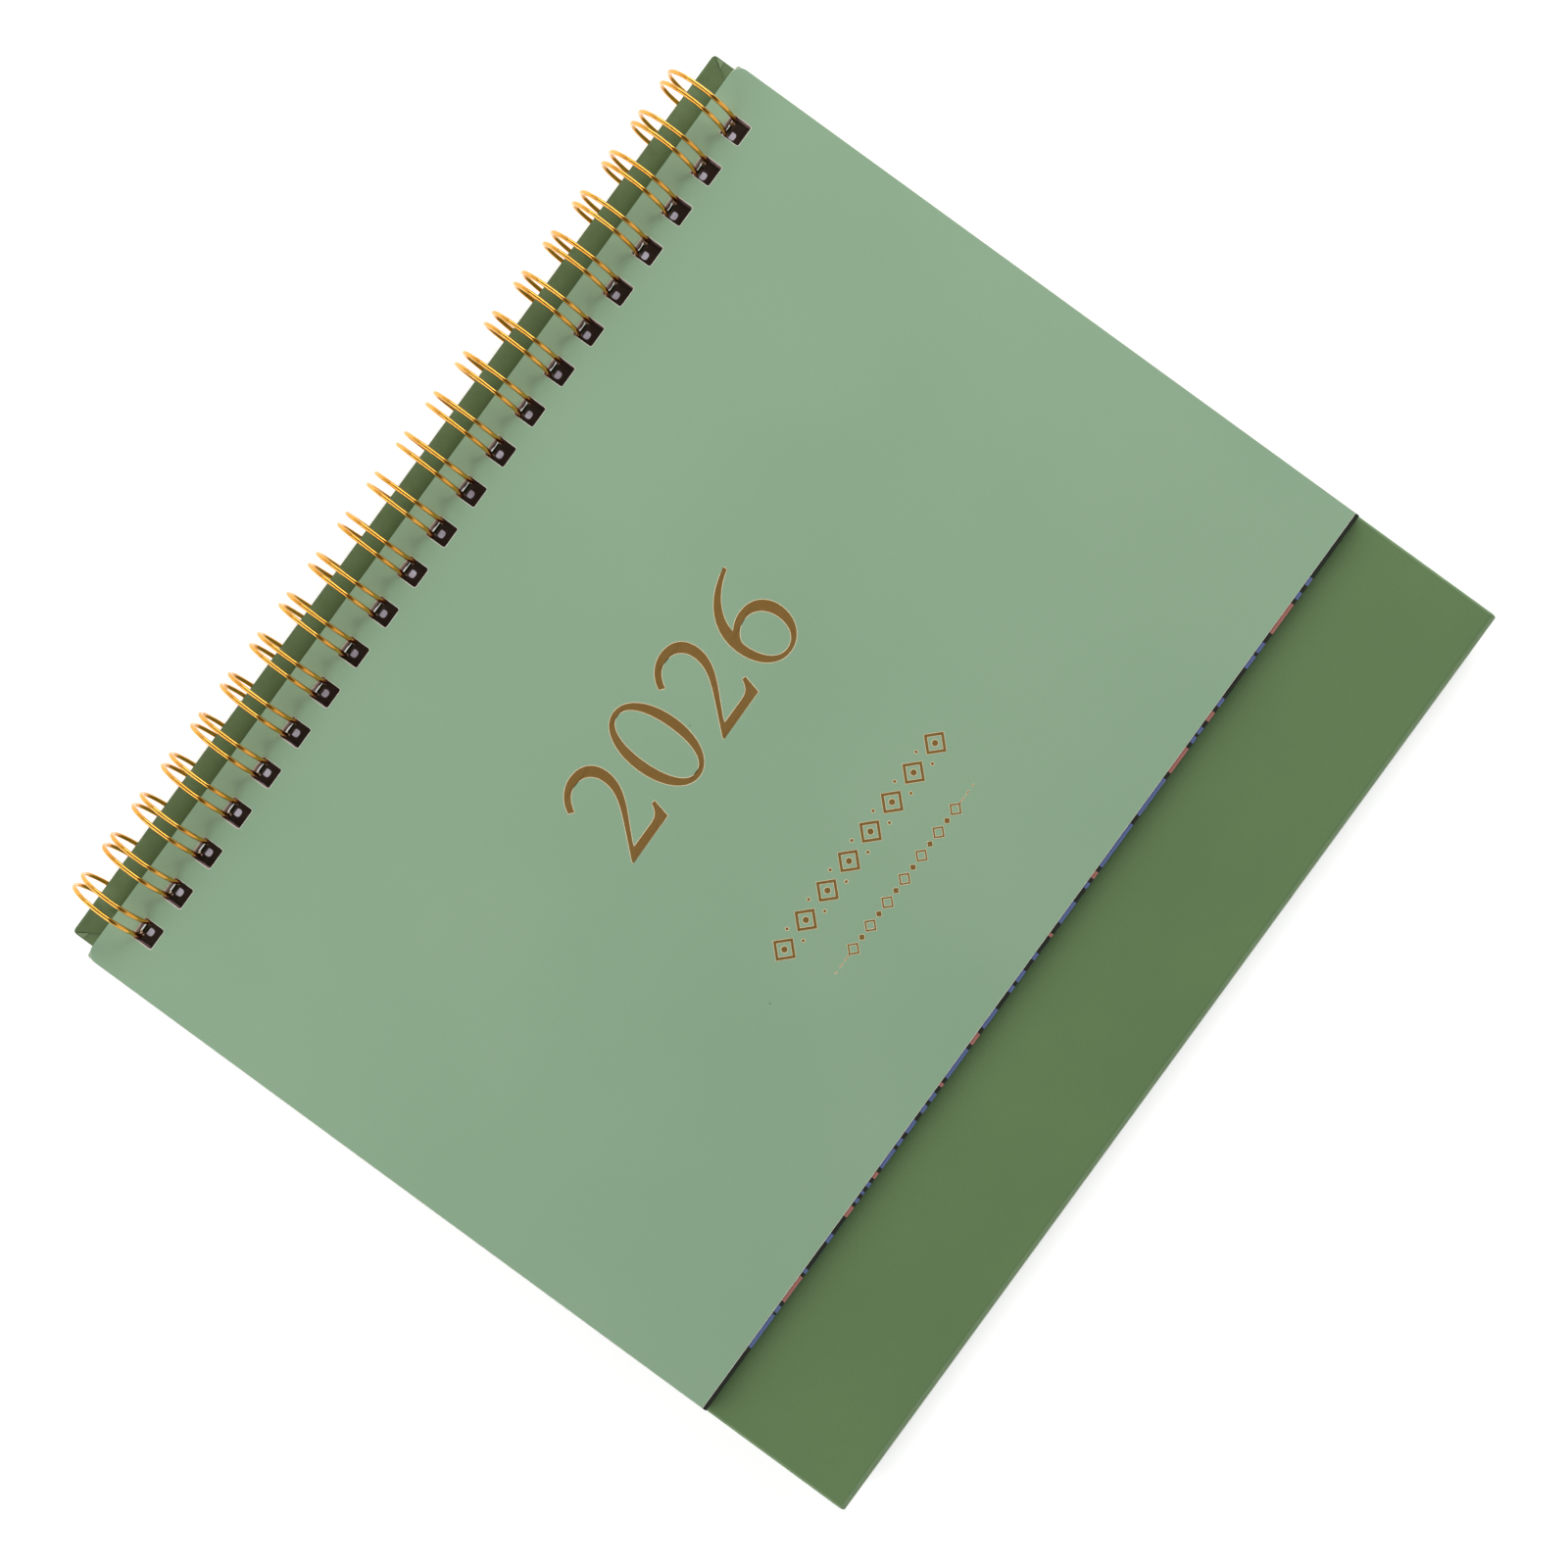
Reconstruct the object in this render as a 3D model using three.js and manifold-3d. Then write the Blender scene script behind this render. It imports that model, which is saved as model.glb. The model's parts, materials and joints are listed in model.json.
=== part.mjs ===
// A desk calendar with a folding easel, lying folded flat.
//
// A one-piece paper-wrapped easel has four stiff panels: a front panel, a back panel and, folded in
// between them, the two halves of the base. A twin-loop wire comb passes through square holes in both
// panels and carries the cover and twelve month sheets, which turn about the middle of its rings.
//
// Millimetres. X runs along the binding, +Y points from the pages to the binding and +Z up.
// The model is made about the axis of the rings and moved at the end, so that the origin lies under
// the middle of the calendar, on the table.

import * as THREE from "three";
import { mergeVertices } from "three/addons/utils/BufferGeometryUtils.js";
import Module from "manifold-3d";

const wasm = await Module();
wasm.setup();

// Driving dimensions

// binding
const LOOP_PITCH = 25.4 / 3; // three loops to the inch
const LOOPS = 21;
const WIRE = 0.9; // wire diameter
const RING = 14.8; // outer diameter of a closed ring
const ROOT_SPREAD = 2.8; // between the two wires of a loop where they leave the back of the comb
const TIP_SPREAD = 2; // between the same two wires at the closed tip
const ROOT_DEPTH = 3.35; // back of the comb below the middle of the ring
const TIP_GAP = 0.45; // between the tip and the back of the comb that it closes against
const WIRE_BEND = 0.9; // inner bend where a loop leaves the back of the comb

// sheets
const SHEET_WIDTH = 188.2;
const COVER_HEIGHT = 130.1;
const SHEET_HEIGHT = 130.7; // the month sheets show a little beyond the cover
const SHEET_CORNER = 2; // corner radius beside the binding
const SHEET_MARGIN = 6.4; // from the bound edge to the middle of the holes
const SHEET_HOLE = 4; // side of the square holes
const COVER_THICKNESS = 0.3;
const SHEET_THICKNESS = 0.18;
const SHEET_SPACE = 0.02; // air between two sheets
const MONTHS = 12; // one sheet each

// easel panels
const FRONT_WIDTH = 189;
const BACK_WIDTH = 187.2; // back panel and base, which fold in behind the front panel
const PANEL_HEIGHT = 160.6; // from the bound edge to the crease
const PANEL_MARGIN = 7; // from the bound edge to the middle of the holes
const PANEL_HOLE_WIDTH = 4;
const PANEL_HOLE_HEIGHT = 5;
const CORE = 1.1; // grey board
const WRAP = 0.15; // covering paper
const LINER = 0.15; // lining paper
const TURN_IN = 9.9; // covering paper folded over on to the inner face
const MITRE_SLIT = 0.3; // between the mitred turn-ins
const WRAP_EDGE = 0.35; // radius of the wrapped side edges
const BASE_DEPTH = 76; // both halves of the base together
const BASE_STOP = 3.5; // each half's board ends this far from the centre crease

// fits
const WIRE_PLAY = 0.15; // between a wire and the side of its hole
const PAPER_FIT = 0.02; // glued layers
const FOLD_GAP = 0.05; // panels folded on to each other
const BACK_EDGE = 3.5; // bound edge of the back panel past the middle of the rings
const FRONT_LIFT = 1.5; // from the back panel to the front panel at the binding
const SKEW = 0.5; // the back panel and the closed tips of the wire lie this far to the right

// Worked out from the sizes above

const wireRadius = WIRE / 2;
const ringRadius = RING / 2 - wireRadius;
const panelThickness = CORE + WRAP + LINER;

// The lower corner of the back panel's bound edge just clears the inside of the rings.
const ringInside = ringRadius - wireRadius - WIRE_PLAY;
const backUnderside = -Math.sqrt(ringInside ** 2 - BACK_EDGE ** 2);
const table = -RING / 2;
const backTilt = Math.asin((backUnderside - table) / PANEL_HEIGHT);
const frontUnderside = backUnderside + panelThickness + FRONT_LIFT;
const coverTop =
  frontUnderside + panelThickness + FOLD_GAP + MONTHS * (SHEET_THICKNESS + SHEET_SPACE) + COVER_THICKNESS;

// How far out from the ring's axis a hole's middle lies, when the hole's bound side just clears the
// wire over a layer that reaches from one height to another.
function holeReach(low, high, holeHeight) {
  const steepest = Math.max(Math.abs(low), Math.abs(high));
  const across = Math.sqrt(ringRadius ** 2 - steepest ** 2);
  const slant = (wireRadius * ringRadius) / across;
  return across - slant - WIRE_PLAY + holeHeight / 2;
}

const holeMiddles = Array.from({ length: LOOPS }, (_, i) => (i - (LOOPS - 1) / 2) * LOOP_PITCH);

// Shapes

function solid(geometry) {
  const bare = geometry.clone();
  bare.deleteAttribute("normal");
  bare.deleteAttribute("uv");
  const merged = mergeVertices(bare.index ? bare.toNonIndexed() : bare, 1e-3);
  return new wasm.Manifold(
    new wasm.Mesh({
      numProp: 3,
      vertProperties: merged.attributes.position.array,
      triVerts: new Uint32Array(merged.index.array),
    }),
  );
}

function geometryOf(manifold) {
  const mesh = manifold.getMesh();
  const geometry = new THREE.BufferGeometry();
  geometry.setAttribute("position", new THREE.BufferAttribute(mesh.vertProperties, 3));
  geometry.setIndex(new THREE.BufferAttribute(mesh.triVerts, 1));
  geometry.computeVertexNormals();
  return geometry;
}

// An upright prism between two heights.
function prism(shape, low, high) {
  const geometry = new THREE.ExtrudeGeometry(shape, {
    depth: high - low,
    bevelEnabled: false,
    curveSegments: 3,
  });
  return geometry.translate(0, 0, low);
}

function rectangle(left, right, near, far) {
  const shape = new THREE.Shape();
  shape.moveTo(left, near);
  shape.lineTo(right, near);
  shape.lineTo(right, far);
  shape.lineTo(left, far);
  shape.closePath();
  return shape;
}

function box(left, right, near, far, low, high) {
  return prism(rectangle(left, right, near, far), low, high);
}

// Cuts the row of holes into a piece whose bound edge is Y = 0.
function punch(piece, margin, width, height) {
  const near = -margin - height / 2;
  const far = -margin + height / 2;
  return holeMiddles.reduce(
    (rest, x) => rest.subtract(solid(box(x - width / 2, x + width / 2, near, far, -1, panelThickness + 1))),
    piece,
  );
}

// A flat sheet with small round corners beside the binding.
function sheetOutline(width, height, corner) {
  const shape = new THREE.Shape();
  const side = width / 2;
  shape.moveTo(-side, -height);
  shape.lineTo(side, -height);
  shape.lineTo(side, -corner);
  shape.quadraticCurveTo(side, 0, side - corner, 0);
  shape.lineTo(-side + corner, 0);
  shape.quadraticCurveTo(-side, 0, -side, -corner);
  shape.closePath();
  return shape;
}

// Materials

function paper(color, roughness) {
  return new THREE.MeshStandardMaterial({ color, roughness, metalness: 0 });
}

const coverStock = paper(0x94b396, 0.45);
const monthStock = paper(0xd9d6cf, 0.6);
const greenWrap = paper(0x5f7a4f, 0.6);
const greyBoard = paper(0x9a958c, 0.9);
const liningPaper = paper(0xc9c6cf, 0.8);
const goldWire = new THREE.MeshStandardMaterial({ color: 0xd9a02c, roughness: 0.25, metalness: 1 });

function named(name, geometry, material) {
  const mesh = new THREE.Mesh(geometry, material);
  mesh.name = name;
  return mesh;
}

// Twin-loop wire comb: one continuous wire. Each loop is a hairpin whose two legs run round the ring
// and whose closed tip comes back to the comb from below. The legs of neighbouring loops are joined by
// straight lengths, which are the back of the comb. The closing point lies between the two panels.

const rootAngle = -Math.asin(ROOT_DEPTH / ringRadius);
const tipAngle = rootAngle - (WIRE + TIP_GAP) / ringRadius;
const LEG_STEPS = 14;
const BEND_STEPS = 2;
const TIP_STEPS = 3;
const WIRE_SIDES = 5;

// A point of the comb from its place along the binding and its angle round the ring. The corners of a
// ring lie a little outside the true circle, so that its straight sides stray both ways alike.
function onRing(x, angle) {
  const legStep = (2 * Math.PI) / LEG_STEPS;
  const radius = ringRadius * (1 + legStep ** 2 / 24);
  return new THREE.Vector3(x, -radius * Math.cos(angle), radius * Math.sin(angle));
}

function hairpin(middle, joinsBefore, joinsAfter) {
  const points = [];
  const bendAngle = WIRE_BEND / ringRadius;
  const legStart = rootAngle + bendAngle;
  const legEnd = tipAngle + 2 * Math.PI - TIP_SPREAD / 2 / ringRadius;
  const leg = Array.from({ length: LEG_STEPS + 1 }, (_, i) => {
    const share = i / LEG_STEPS;
    return {
      out: (ROOT_SPREAD + (TIP_SPREAD - ROOT_SPREAD) * share) / 2,
      shift: SKEW * share,
      angle: legStart + (legEnd - legStart) * share,
    };
  });
  const bend = Array.from({ length: BEND_STEPS }, (_, i) => {
    const turn = (Math.PI / 2) * (1 - i / BEND_STEPS);
    return {
      out: ROOT_SPREAD / 2 + WIRE_BEND * (1 - Math.cos(turn)),
      shift: 0,
      angle: rootAngle + bendAngle * (1 - Math.sin(turn)),
    };
  });
  const plainEnd = [{ out: ROOT_SPREAD / 2, shift: 0, angle: rootAngle }];
  const before = joinsBefore ? bend : plainEnd;
  const after = joinsAfter ? bend : plainEnd;
  for (const p of [...before, ...leg]) points.push(onRing(middle + p.shift - p.out, p.angle));
  for (let i = 1; i < TIP_STEPS; i++) {
    const turn = (Math.PI * i) / TIP_STEPS;
    const across = (TIP_SPREAD / 2) * Math.cos(turn);
    const reach = (TIP_SPREAD / 2) * Math.sin(turn);
    points.push(onRing(middle + SKEW - across, legEnd + reach / ringRadius));
  }
  for (const p of [...leg.slice().reverse(), ...after.slice().reverse()]) {
    points.push(onRing(middle + p.shift + p.out, p.angle));
  }
  return points;
}

// A closed tube round a line of points, with its section carried along without twist.
function tube(points, radius, sides) {
  const tangents = points.map((_, i) => {
    const before = points[Math.max(i - 1, 0)];
    const after = points[Math.min(i + 1, points.length - 1)];
    const back = points[i].clone().sub(before).normalize();
    const ahead = after.clone().sub(points[i]).normalize();
    return back.add(ahead).normalize();
  });
  const vertices = [];
  const faces = [];
  let up = new THREE.Vector3(1, 0, 0);
  points.forEach((point, i) => {
    up = up.clone().addScaledVector(tangents[i], -up.dot(tangents[i])).normalize();
    const side = new THREE.Vector3().crossVectors(tangents[i], up);
    for (let k = 0; k < sides; k++) {
      const turn = (2 * Math.PI * k) / sides;
      const rim = point
        .clone()
        .addScaledVector(up, radius * Math.cos(turn))
        .addScaledVector(side, radius * Math.sin(turn));
      vertices.push(rim.x, rim.y, rim.z);
    }
  });
  for (let i = 0; i + 1 < points.length; i++) {
    for (let k = 0; k < sides; k++) {
      const a = i * sides + k;
      const b = i * sides + ((k + 1) % sides);
      faces.push(a, b, b + sides, a, b + sides, a + sides);
    }
  }
  const last = (points.length - 1) * sides;
  for (let k = 1; k + 1 < sides; k++) {
    faces.push(0, k + 1, k);
    faces.push(last, last + k, last + k + 1);
  }
  const geometry = new THREE.BufferGeometry();
  geometry.setAttribute("position", new THREE.Float32BufferAttribute(vertices, 3));
  geometry.setIndex(faces);
  geometry.computeVertexNormals();
  return geometry;
}

// The least air between any two places of the wire that lie apart along it.
function leastGap(points) {
  const apart = 4 * WIRE;
  let along = 0;
  const places = points.map((point, i) => {
    along += i > 0 ? point.distanceTo(points[i - 1]) : 0;
    return { point, along };
  });
  let least = Infinity;
  places.forEach((a, i) => {
    for (const b of places.slice(i + 1, i + 100)) {
      if (b.along - a.along > apart) least = Math.min(least, a.point.distanceTo(b.point));
    }
  });
  return least - WIRE;
}

function wireComb() {
  const line = holeMiddles.flatMap((x, i) => hairpin(x, i > 0, i + 1 < LOOPS));
  console.log("least gap of the wire to itself: " + leastGap(line).toFixed(2) + " mm");
  return named("binding_wire", tube(line, wireRadius, WIRE_SIDES), goldWire);
}

// Sheets, stacked from the front panel up. Each hangs with the bound side of its holes on the wire, so
// its own height in the stack says how far out it lies.

function punchedSheet(height, thickness) {
  const blank = solid(prism(sheetOutline(SHEET_WIDTH, height, SHEET_CORNER), 0, thickness));
  return geometryOf(punch(blank, SHEET_MARGIN, SHEET_HOLE, SHEET_HOLE));
}

function hang(mesh, low, thickness) {
  mesh.position.set(0, SHEET_MARGIN - holeReach(low, low + thickness, SHEET_HOLE), low);
  return mesh;
}

function sheets() {
  const group = new THREE.Group();
  const stackFoot = frontUnderside + panelThickness + FOLD_GAP;
  const monthSheet = punchedSheet(SHEET_HEIGHT, SHEET_THICKNESS);
  for (let month = MONTHS; month >= 1; month--) {
    const low = stackFoot + (MONTHS - month) * (SHEET_THICKNESS + SHEET_SPACE);
    const name = "month_sheet_" + String(month).padStart(2, "0");
    group.add(hang(named(name, monthSheet, monthStock), low, SHEET_THICKNESS));
  }
  const cover = named("cover_sheet", punchedSheet(COVER_HEIGHT, COVER_THICKNESS), coverStock);
  group.add(hang(cover, coverTop - COVER_THICKNESS, COVER_THICKNESS));
  return group;
}

// A panel lies with its inner face at Z = 0, its bound or free edge at Y = 0 and its crease at
// Y = -height, where the covering paper rounds the end of the board into the next panel.

function panelWrap(width, height, punched) {
  const side = width / 2;
  const top = panelThickness;
  const across = new THREE.Shape();
  across.moveTo(-side, 0);
  across.lineTo(side, 0);
  across.lineTo(side, top - WRAP_EDGE);
  across.absarc(side - WRAP_EDGE, top - WRAP_EDGE, WRAP_EDGE, 0, Math.PI / 2);
  across.absarc(-side + WRAP_EDGE, top - WRAP_EDGE, WRAP_EDGE, Math.PI / 2, Math.PI);
  across.closePath();
  const along = new THREE.Shape();
  along.moveTo(0, 0);
  along.lineTo(height, 0);
  along.absarc(height - top, 0, top, 0, Math.PI / 2);
  along.absarc(WRAP_EDGE, top - WRAP_EDGE, WRAP_EDGE, Math.PI / 2, Math.PI);
  along.closePath();
  const lengthwise = solid(
    new THREE.ExtrudeGeometry(across, { depth: height, bevelEnabled: false, curveSegments: 3 }).rotateX(
      Math.PI / 2,
    ),
  );
  const crosswise = solid(
    new THREE.ExtrudeGeometry(along, { depth: width, bevelEnabled: false, curveSegments: 4 })
      .rotateX(Math.PI / 2)
      .rotateZ(-Math.PI / 2)
      .translate(side, 0, 0),
  );
  let wrap = lengthwise.intersect(crosswise);
  const boardSide = side - WRAP;
  const boardEnd = -(height - panelThickness);
  wrap = wrap.subtract(solid(box(-boardSide, boardSide, boardEnd, -WRAP, LINER, top - WRAP)));
  const window = side - TURN_IN;
  wrap = wrap.subtract(solid(box(-window, window, boardEnd, -TURN_IN, -1, LINER + PAPER_FIT)));
  wrap = wrap.subtract(solid(creaseHollow(window, boardEnd)));
  for (const mirror of [1, -1]) {
    const slit = box(-MITRE_SLIT / 2, MITRE_SLIT / 2, -TURN_IN * 2, -WRAP_EDGE * 2, -1, LINER + PAPER_FIT);
    slit.rotateZ((-mirror * Math.PI) / 4).translate(mirror * side, 0, 0);
    wrap = wrap.subtract(solid(slit));
  }
  if (punched) wrap = punch(wrap, PANEL_MARGIN, PANEL_HOLE_WIDTH, PANEL_HOLE_HEIGHT);
  return geometryOf(wrap);
}

// The paper is hollow where it rounds the crease, except at its turned-in ends.
function creaseHollow(side, boardEnd) {
  const round = new THREE.Shape();
  round.moveTo(0, -1);
  round.lineTo(0, panelThickness - WRAP);
  round.absarc(0, 0, panelThickness - WRAP, Math.PI / 2, Math.PI);
  round.lineTo(WRAP - panelThickness, -1);
  round.closePath();
  return new THREE.ExtrudeGeometry(round, { depth: side * 2, bevelEnabled: false, curveSegments: 4 })
    .rotateX(Math.PI / 2)
    .rotateZ(Math.PI / 2)
    .translate(-side, boardEnd, 0);
}

function panelCore(width, height, punched) {
  const side = width / 2 - WRAP - PAPER_FIT;
  const end = -WRAP - PAPER_FIT;
  const top = panelThickness - WRAP - PAPER_FIT;
  let core = solid(box(-side, side, -(height - panelThickness), end, LINER + PAPER_FIT, top));
  if (punched) core = punch(core, PANEL_MARGIN, PANEL_HOLE_WIDTH, PANEL_HOLE_HEIGHT);
  return geometryOf(core);
}

function panelLiner(width, height) {
  const side = width / 2 - TURN_IN - PAPER_FIT;
  return box(-side, side, -(height - panelThickness), -TURN_IN - PAPER_FIT, 0, LINER);
}

function panel(name, width, height, punched, innerFaceUp) {
  const group = new THREE.Group();
  group.add(named(name + "_board", panelCore(width, height, punched), greyBoard));
  group.add(named(name + "_wrap", panelWrap(width, height, punched), greenWrap));
  group.add(named(name + "_liner", panelLiner(width, height), liningPaper));
  if (innerFaceUp) group.rotation.y = Math.PI;
  return group;
}

// Easel, folded flat: the front half of the base lies under the front panel and the back half on the
// back panel. Their centre creases meet, so the front half is longer by what the panels lie apart.

const frontTop = frontUnderside + panelThickness;
const frontEdge = PANEL_MARGIN - holeReach(frontUnderside, frontTop, PANEL_HOLE_HEIGHT);
const frontCrease = frontEdge - PANEL_HEIGHT;
const backCrease = BACK_EDGE - PANEL_HEIGHT * Math.cos(backTilt);
const creaseOffset = backCrease - frontCrease;
const baseFrontDepth = (BASE_DEPTH + creaseOffset) / 2;
const baseBackDepth = (BASE_DEPTH - creaseOffset) / 2;

function frontHalf() {
  const group = new THREE.Group();
  const front = panel("front_panel", FRONT_WIDTH, PANEL_HEIGHT, true, false);
  front.position.set(0, frontEdge, frontUnderside);
  const half = baseFrontDepth - BASE_STOP;
  const base = panel("base_front", BACK_WIDTH, half, false, true);
  base.position.set(SKEW, frontCrease + half, frontUnderside - FOLD_GAP);
  group.add(front, base);
  return group;
}

function backHalf() {
  const group = new THREE.Group();
  const back = panel("back_panel", BACK_WIDTH, PANEL_HEIGHT, true, true);
  back.position.set(0, 0, panelThickness);
  const half = baseBackDepth - BASE_STOP;
  const base = panel("base_back", BACK_WIDTH, half, false, false);
  base.position.set(0, -PANEL_HEIGHT + half, panelThickness + FOLD_GAP);
  group.add(back, base);
  group.position.set(SKEW, BACK_EDGE, backUnderside);
  group.rotation.x = backTilt;
  return group;
}

const calendar = new THREE.Group();
calendar.add(wireComb(), sheets(), frontHalf(), backHalf());
const bounds = new THREE.Box3().setFromObject(calendar, true);
calendar.position.set(0, -(bounds.min.y + bounds.max.y) / 2, -bounds.min.z);

export default calendar;
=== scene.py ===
"""Desk calendar with a folding easel, lying folded flat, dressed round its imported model.

Lengths are millimetres until a piece is finished, and metres from there on.
"""

import calendar
import json
import logging
import math
from collections.abc import Iterable
from dataclasses import dataclass, field
from enum import Enum

import bmesh
import bpy
from bmesh.types import BMEdge, BMesh, BMFace, BMVert
from bpy.types import Material, NodeSocket
from mathutils import Matrix, Quaternion, Vector


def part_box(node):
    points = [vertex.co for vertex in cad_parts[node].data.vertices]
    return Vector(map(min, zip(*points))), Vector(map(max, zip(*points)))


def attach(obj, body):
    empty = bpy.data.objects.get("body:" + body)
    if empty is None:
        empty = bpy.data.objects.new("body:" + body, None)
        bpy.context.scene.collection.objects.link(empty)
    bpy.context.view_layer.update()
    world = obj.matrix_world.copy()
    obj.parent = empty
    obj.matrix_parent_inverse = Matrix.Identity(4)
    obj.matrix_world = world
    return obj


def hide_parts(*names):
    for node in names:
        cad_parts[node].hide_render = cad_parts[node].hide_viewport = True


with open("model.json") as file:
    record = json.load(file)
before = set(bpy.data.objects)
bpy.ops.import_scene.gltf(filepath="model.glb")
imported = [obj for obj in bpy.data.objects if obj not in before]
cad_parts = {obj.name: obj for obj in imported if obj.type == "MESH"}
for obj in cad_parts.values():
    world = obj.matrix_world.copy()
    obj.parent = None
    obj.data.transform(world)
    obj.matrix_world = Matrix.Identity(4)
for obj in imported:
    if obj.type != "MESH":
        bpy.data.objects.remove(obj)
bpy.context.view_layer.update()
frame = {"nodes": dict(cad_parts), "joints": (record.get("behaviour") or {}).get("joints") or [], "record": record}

log = logging.getLogger("desk_calendar")

MM = 0.001
TINY = 1e-4
PLAY = 0.02
STEEP_COSINE = 0.5
LEVEL_COSINE = 0.99
SHARP_ANGLE = 0.8
SPECK_CORE = 0.4
LOOPS = 21
PITCH = 25.4 / 3

Colour = tuple[int, int, int]
Segment = tuple[float, ...]
Outline = tuple[Segment, ...]
Ramp = tuple[float, float, float, float]


def linear(colour: Colour) -> tuple[float, float, float, float]:
    """Turns a display colour into the linear colour that a socket takes.

    Args:
        colour: Red, green and blue, 0 to 255.

    Returns:
        The linear colour with full opacity.
    """
    parts = []
    for value in colour:
        share = value / 255
        parts.append(share / 12.92 if share <= 0.04045 else ((share + 0.055) / 1.055) ** 2.4)
    return (*parts, 1.0)


class NodeSheet:
    """Lays out the nodes of a material or a world."""

    def __init__(self, owner: Material | bpy.types.World) -> None:
        """Clears the nodes of their owner.

        Args:
            owner: Material or world that the nodes belong to.
        """
        owner.use_nodes = True
        self.tree = owner.node_tree
        self.tree.nodes.clear()

    def add(self, kind: str, inputs: dict | None = None, **settings: object) -> bpy.types.Node:
        """Adds a node.

        Args:
            kind: Node type.
            inputs: Input name or index, and the socket or value that it takes.
            settings: Other properties of the node.

        Returns:
            The new node.
        """
        node = self.tree.nodes.new(kind)
        for key, value in settings.items():
            setattr(node, key, value)
        for key, value in (inputs or {}).items():
            self.feed(node.inputs[key], value)
        return node

    def feed(self, socket: NodeSocket, value: object) -> None:
        """Links a socket to another, or sets its value.

        Args:
            socket: Socket that is fed.
            value: Socket that it is linked to, or its value.
        """
        if isinstance(value, NodeSocket):
            self.tree.links.new(value, socket)
        else:
            socket.default_value = value

    def math(self, operation: str, *values: object) -> NodeSocket:
        """Works out a sum of one to three sockets or numbers."""
        return self.add("ShaderNodeMath", dict(enumerate(values)), operation=operation).outputs[0]

    def ramp(
        self, value: object, start: float = 0.0, end: float = 1.0, low: float = 0.3, high: float = 0.7
    ) -> NodeSocket:
        """Maps low to start and high to end, clamped. Low and high are a noise's usual range if not given."""
        sockets = {"Value": value, "From Min": low, "From Max": high, "To Min": start, "To Max": end}
        return self.add("ShaderNodeMapRange", sockets).outputs["Result"]

    def blend(self, share: object, first: NodeSocket | Colour, second: NodeSocket | Colour) -> NodeSocket:
        """Mixes two colours.

        Args:
            share: How much of the second is taken.
            first: Socket or display colour.
            second: Socket or display colour.

        Returns:
            The socket with the mixed colour.
        """
        node = self.add("ShaderNodeMix", {"Factor": share}, data_type="RGBA")
        sockets = [socket for socket in node.inputs if socket.type == "RGBA"]
        for socket, colour in zip(sockets, (first, second)):
            self.feed(socket, linear(colour) if isinstance(colour, tuple) else colour)
        return next(socket for socket in node.outputs if socket.type == "RGBA")


class MaterialSheet(NodeSheet):
    """Lays out the nodes of one material."""

    def __init__(self, name: str) -> None:
        """Makes a material with an output and a principled shader.

        Args:
            name: Name of the material.
        """
        self.material = bpy.data.materials.new(name)
        super().__init__(self.material)
        self.output = self.add("ShaderNodeOutputMaterial")
        self.shader = self.add("ShaderNodeBsdfPrincipled")
        self.feed(self.output.inputs["Surface"], self.shader.outputs["BSDF"])
        self.place = self.add("ShaderNodeTexCoord").outputs["Object"]

    def noise(self, scale: float, detail: float) -> NodeSocket:
        """Adds a noise by its repeats to the metre and its number of finer layers."""
        sockets = {"Vector": self.place, "Scale": scale, "Detail": detail}
        return self.add("ShaderNodeTexNoise", sockets).outputs[0]

    def bump(self, height: object, depth_mm: float, strength: float, below: object = None) -> NodeSocket:
        """Adds a bump.

        Args:
            height: Socket with the height, 0 to 1.
            depth_mm: Real height of the bump.
            strength: Share of it that is used.
            below: Another bump's normal that it is laid over.

        Returns:
            The socket with the normal.
        """
        sockets = {"Height": height, "Distance": depth_mm * MM, "Strength": strength}
        if below is not None:
            sockets["Normal"] = below
        return self.add("ShaderNodeBump", sockets).outputs["Normal"]

    def specks(self, per_metre: float, radius: float, rarity: float) -> NodeSocket:
        """Adds sparse round specks, such as dust or flecks of fibre.

        Args:
            per_metre: Cells to the metre, each with one possible speck.
            radius: Radius of a speck as a share of a cell.
            rarity: Share of the cells without a speck.

        Returns:
            The socket with 1 in a speck and 0 outside it.
        """
        cells = self.add("ShaderNodeTexVoronoi", {"Vector": self.place, "Scale": per_metre}).outputs
        near = self.ramp(cells["Distance"], low=radius, high=radius * SPECK_CORE)
        chance = self.add("ShaderNodeSeparateColor", {"Color": cells["Color"]}).outputs[0]
        return self.math("MULTIPLY", near, self.math("GREATER_THAN", chance, rarity))

    def shade(self, sockets: dict[str, object]) -> Material:
        """Feeds the shader.

        Args:
            sockets: Name of each of its inputs, and the socket or value that it takes.

        Returns:
            The finished material.
        """
        for name, value in sockets.items():
            self.feed(self.shader.inputs[name], value)
        return self.material


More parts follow.
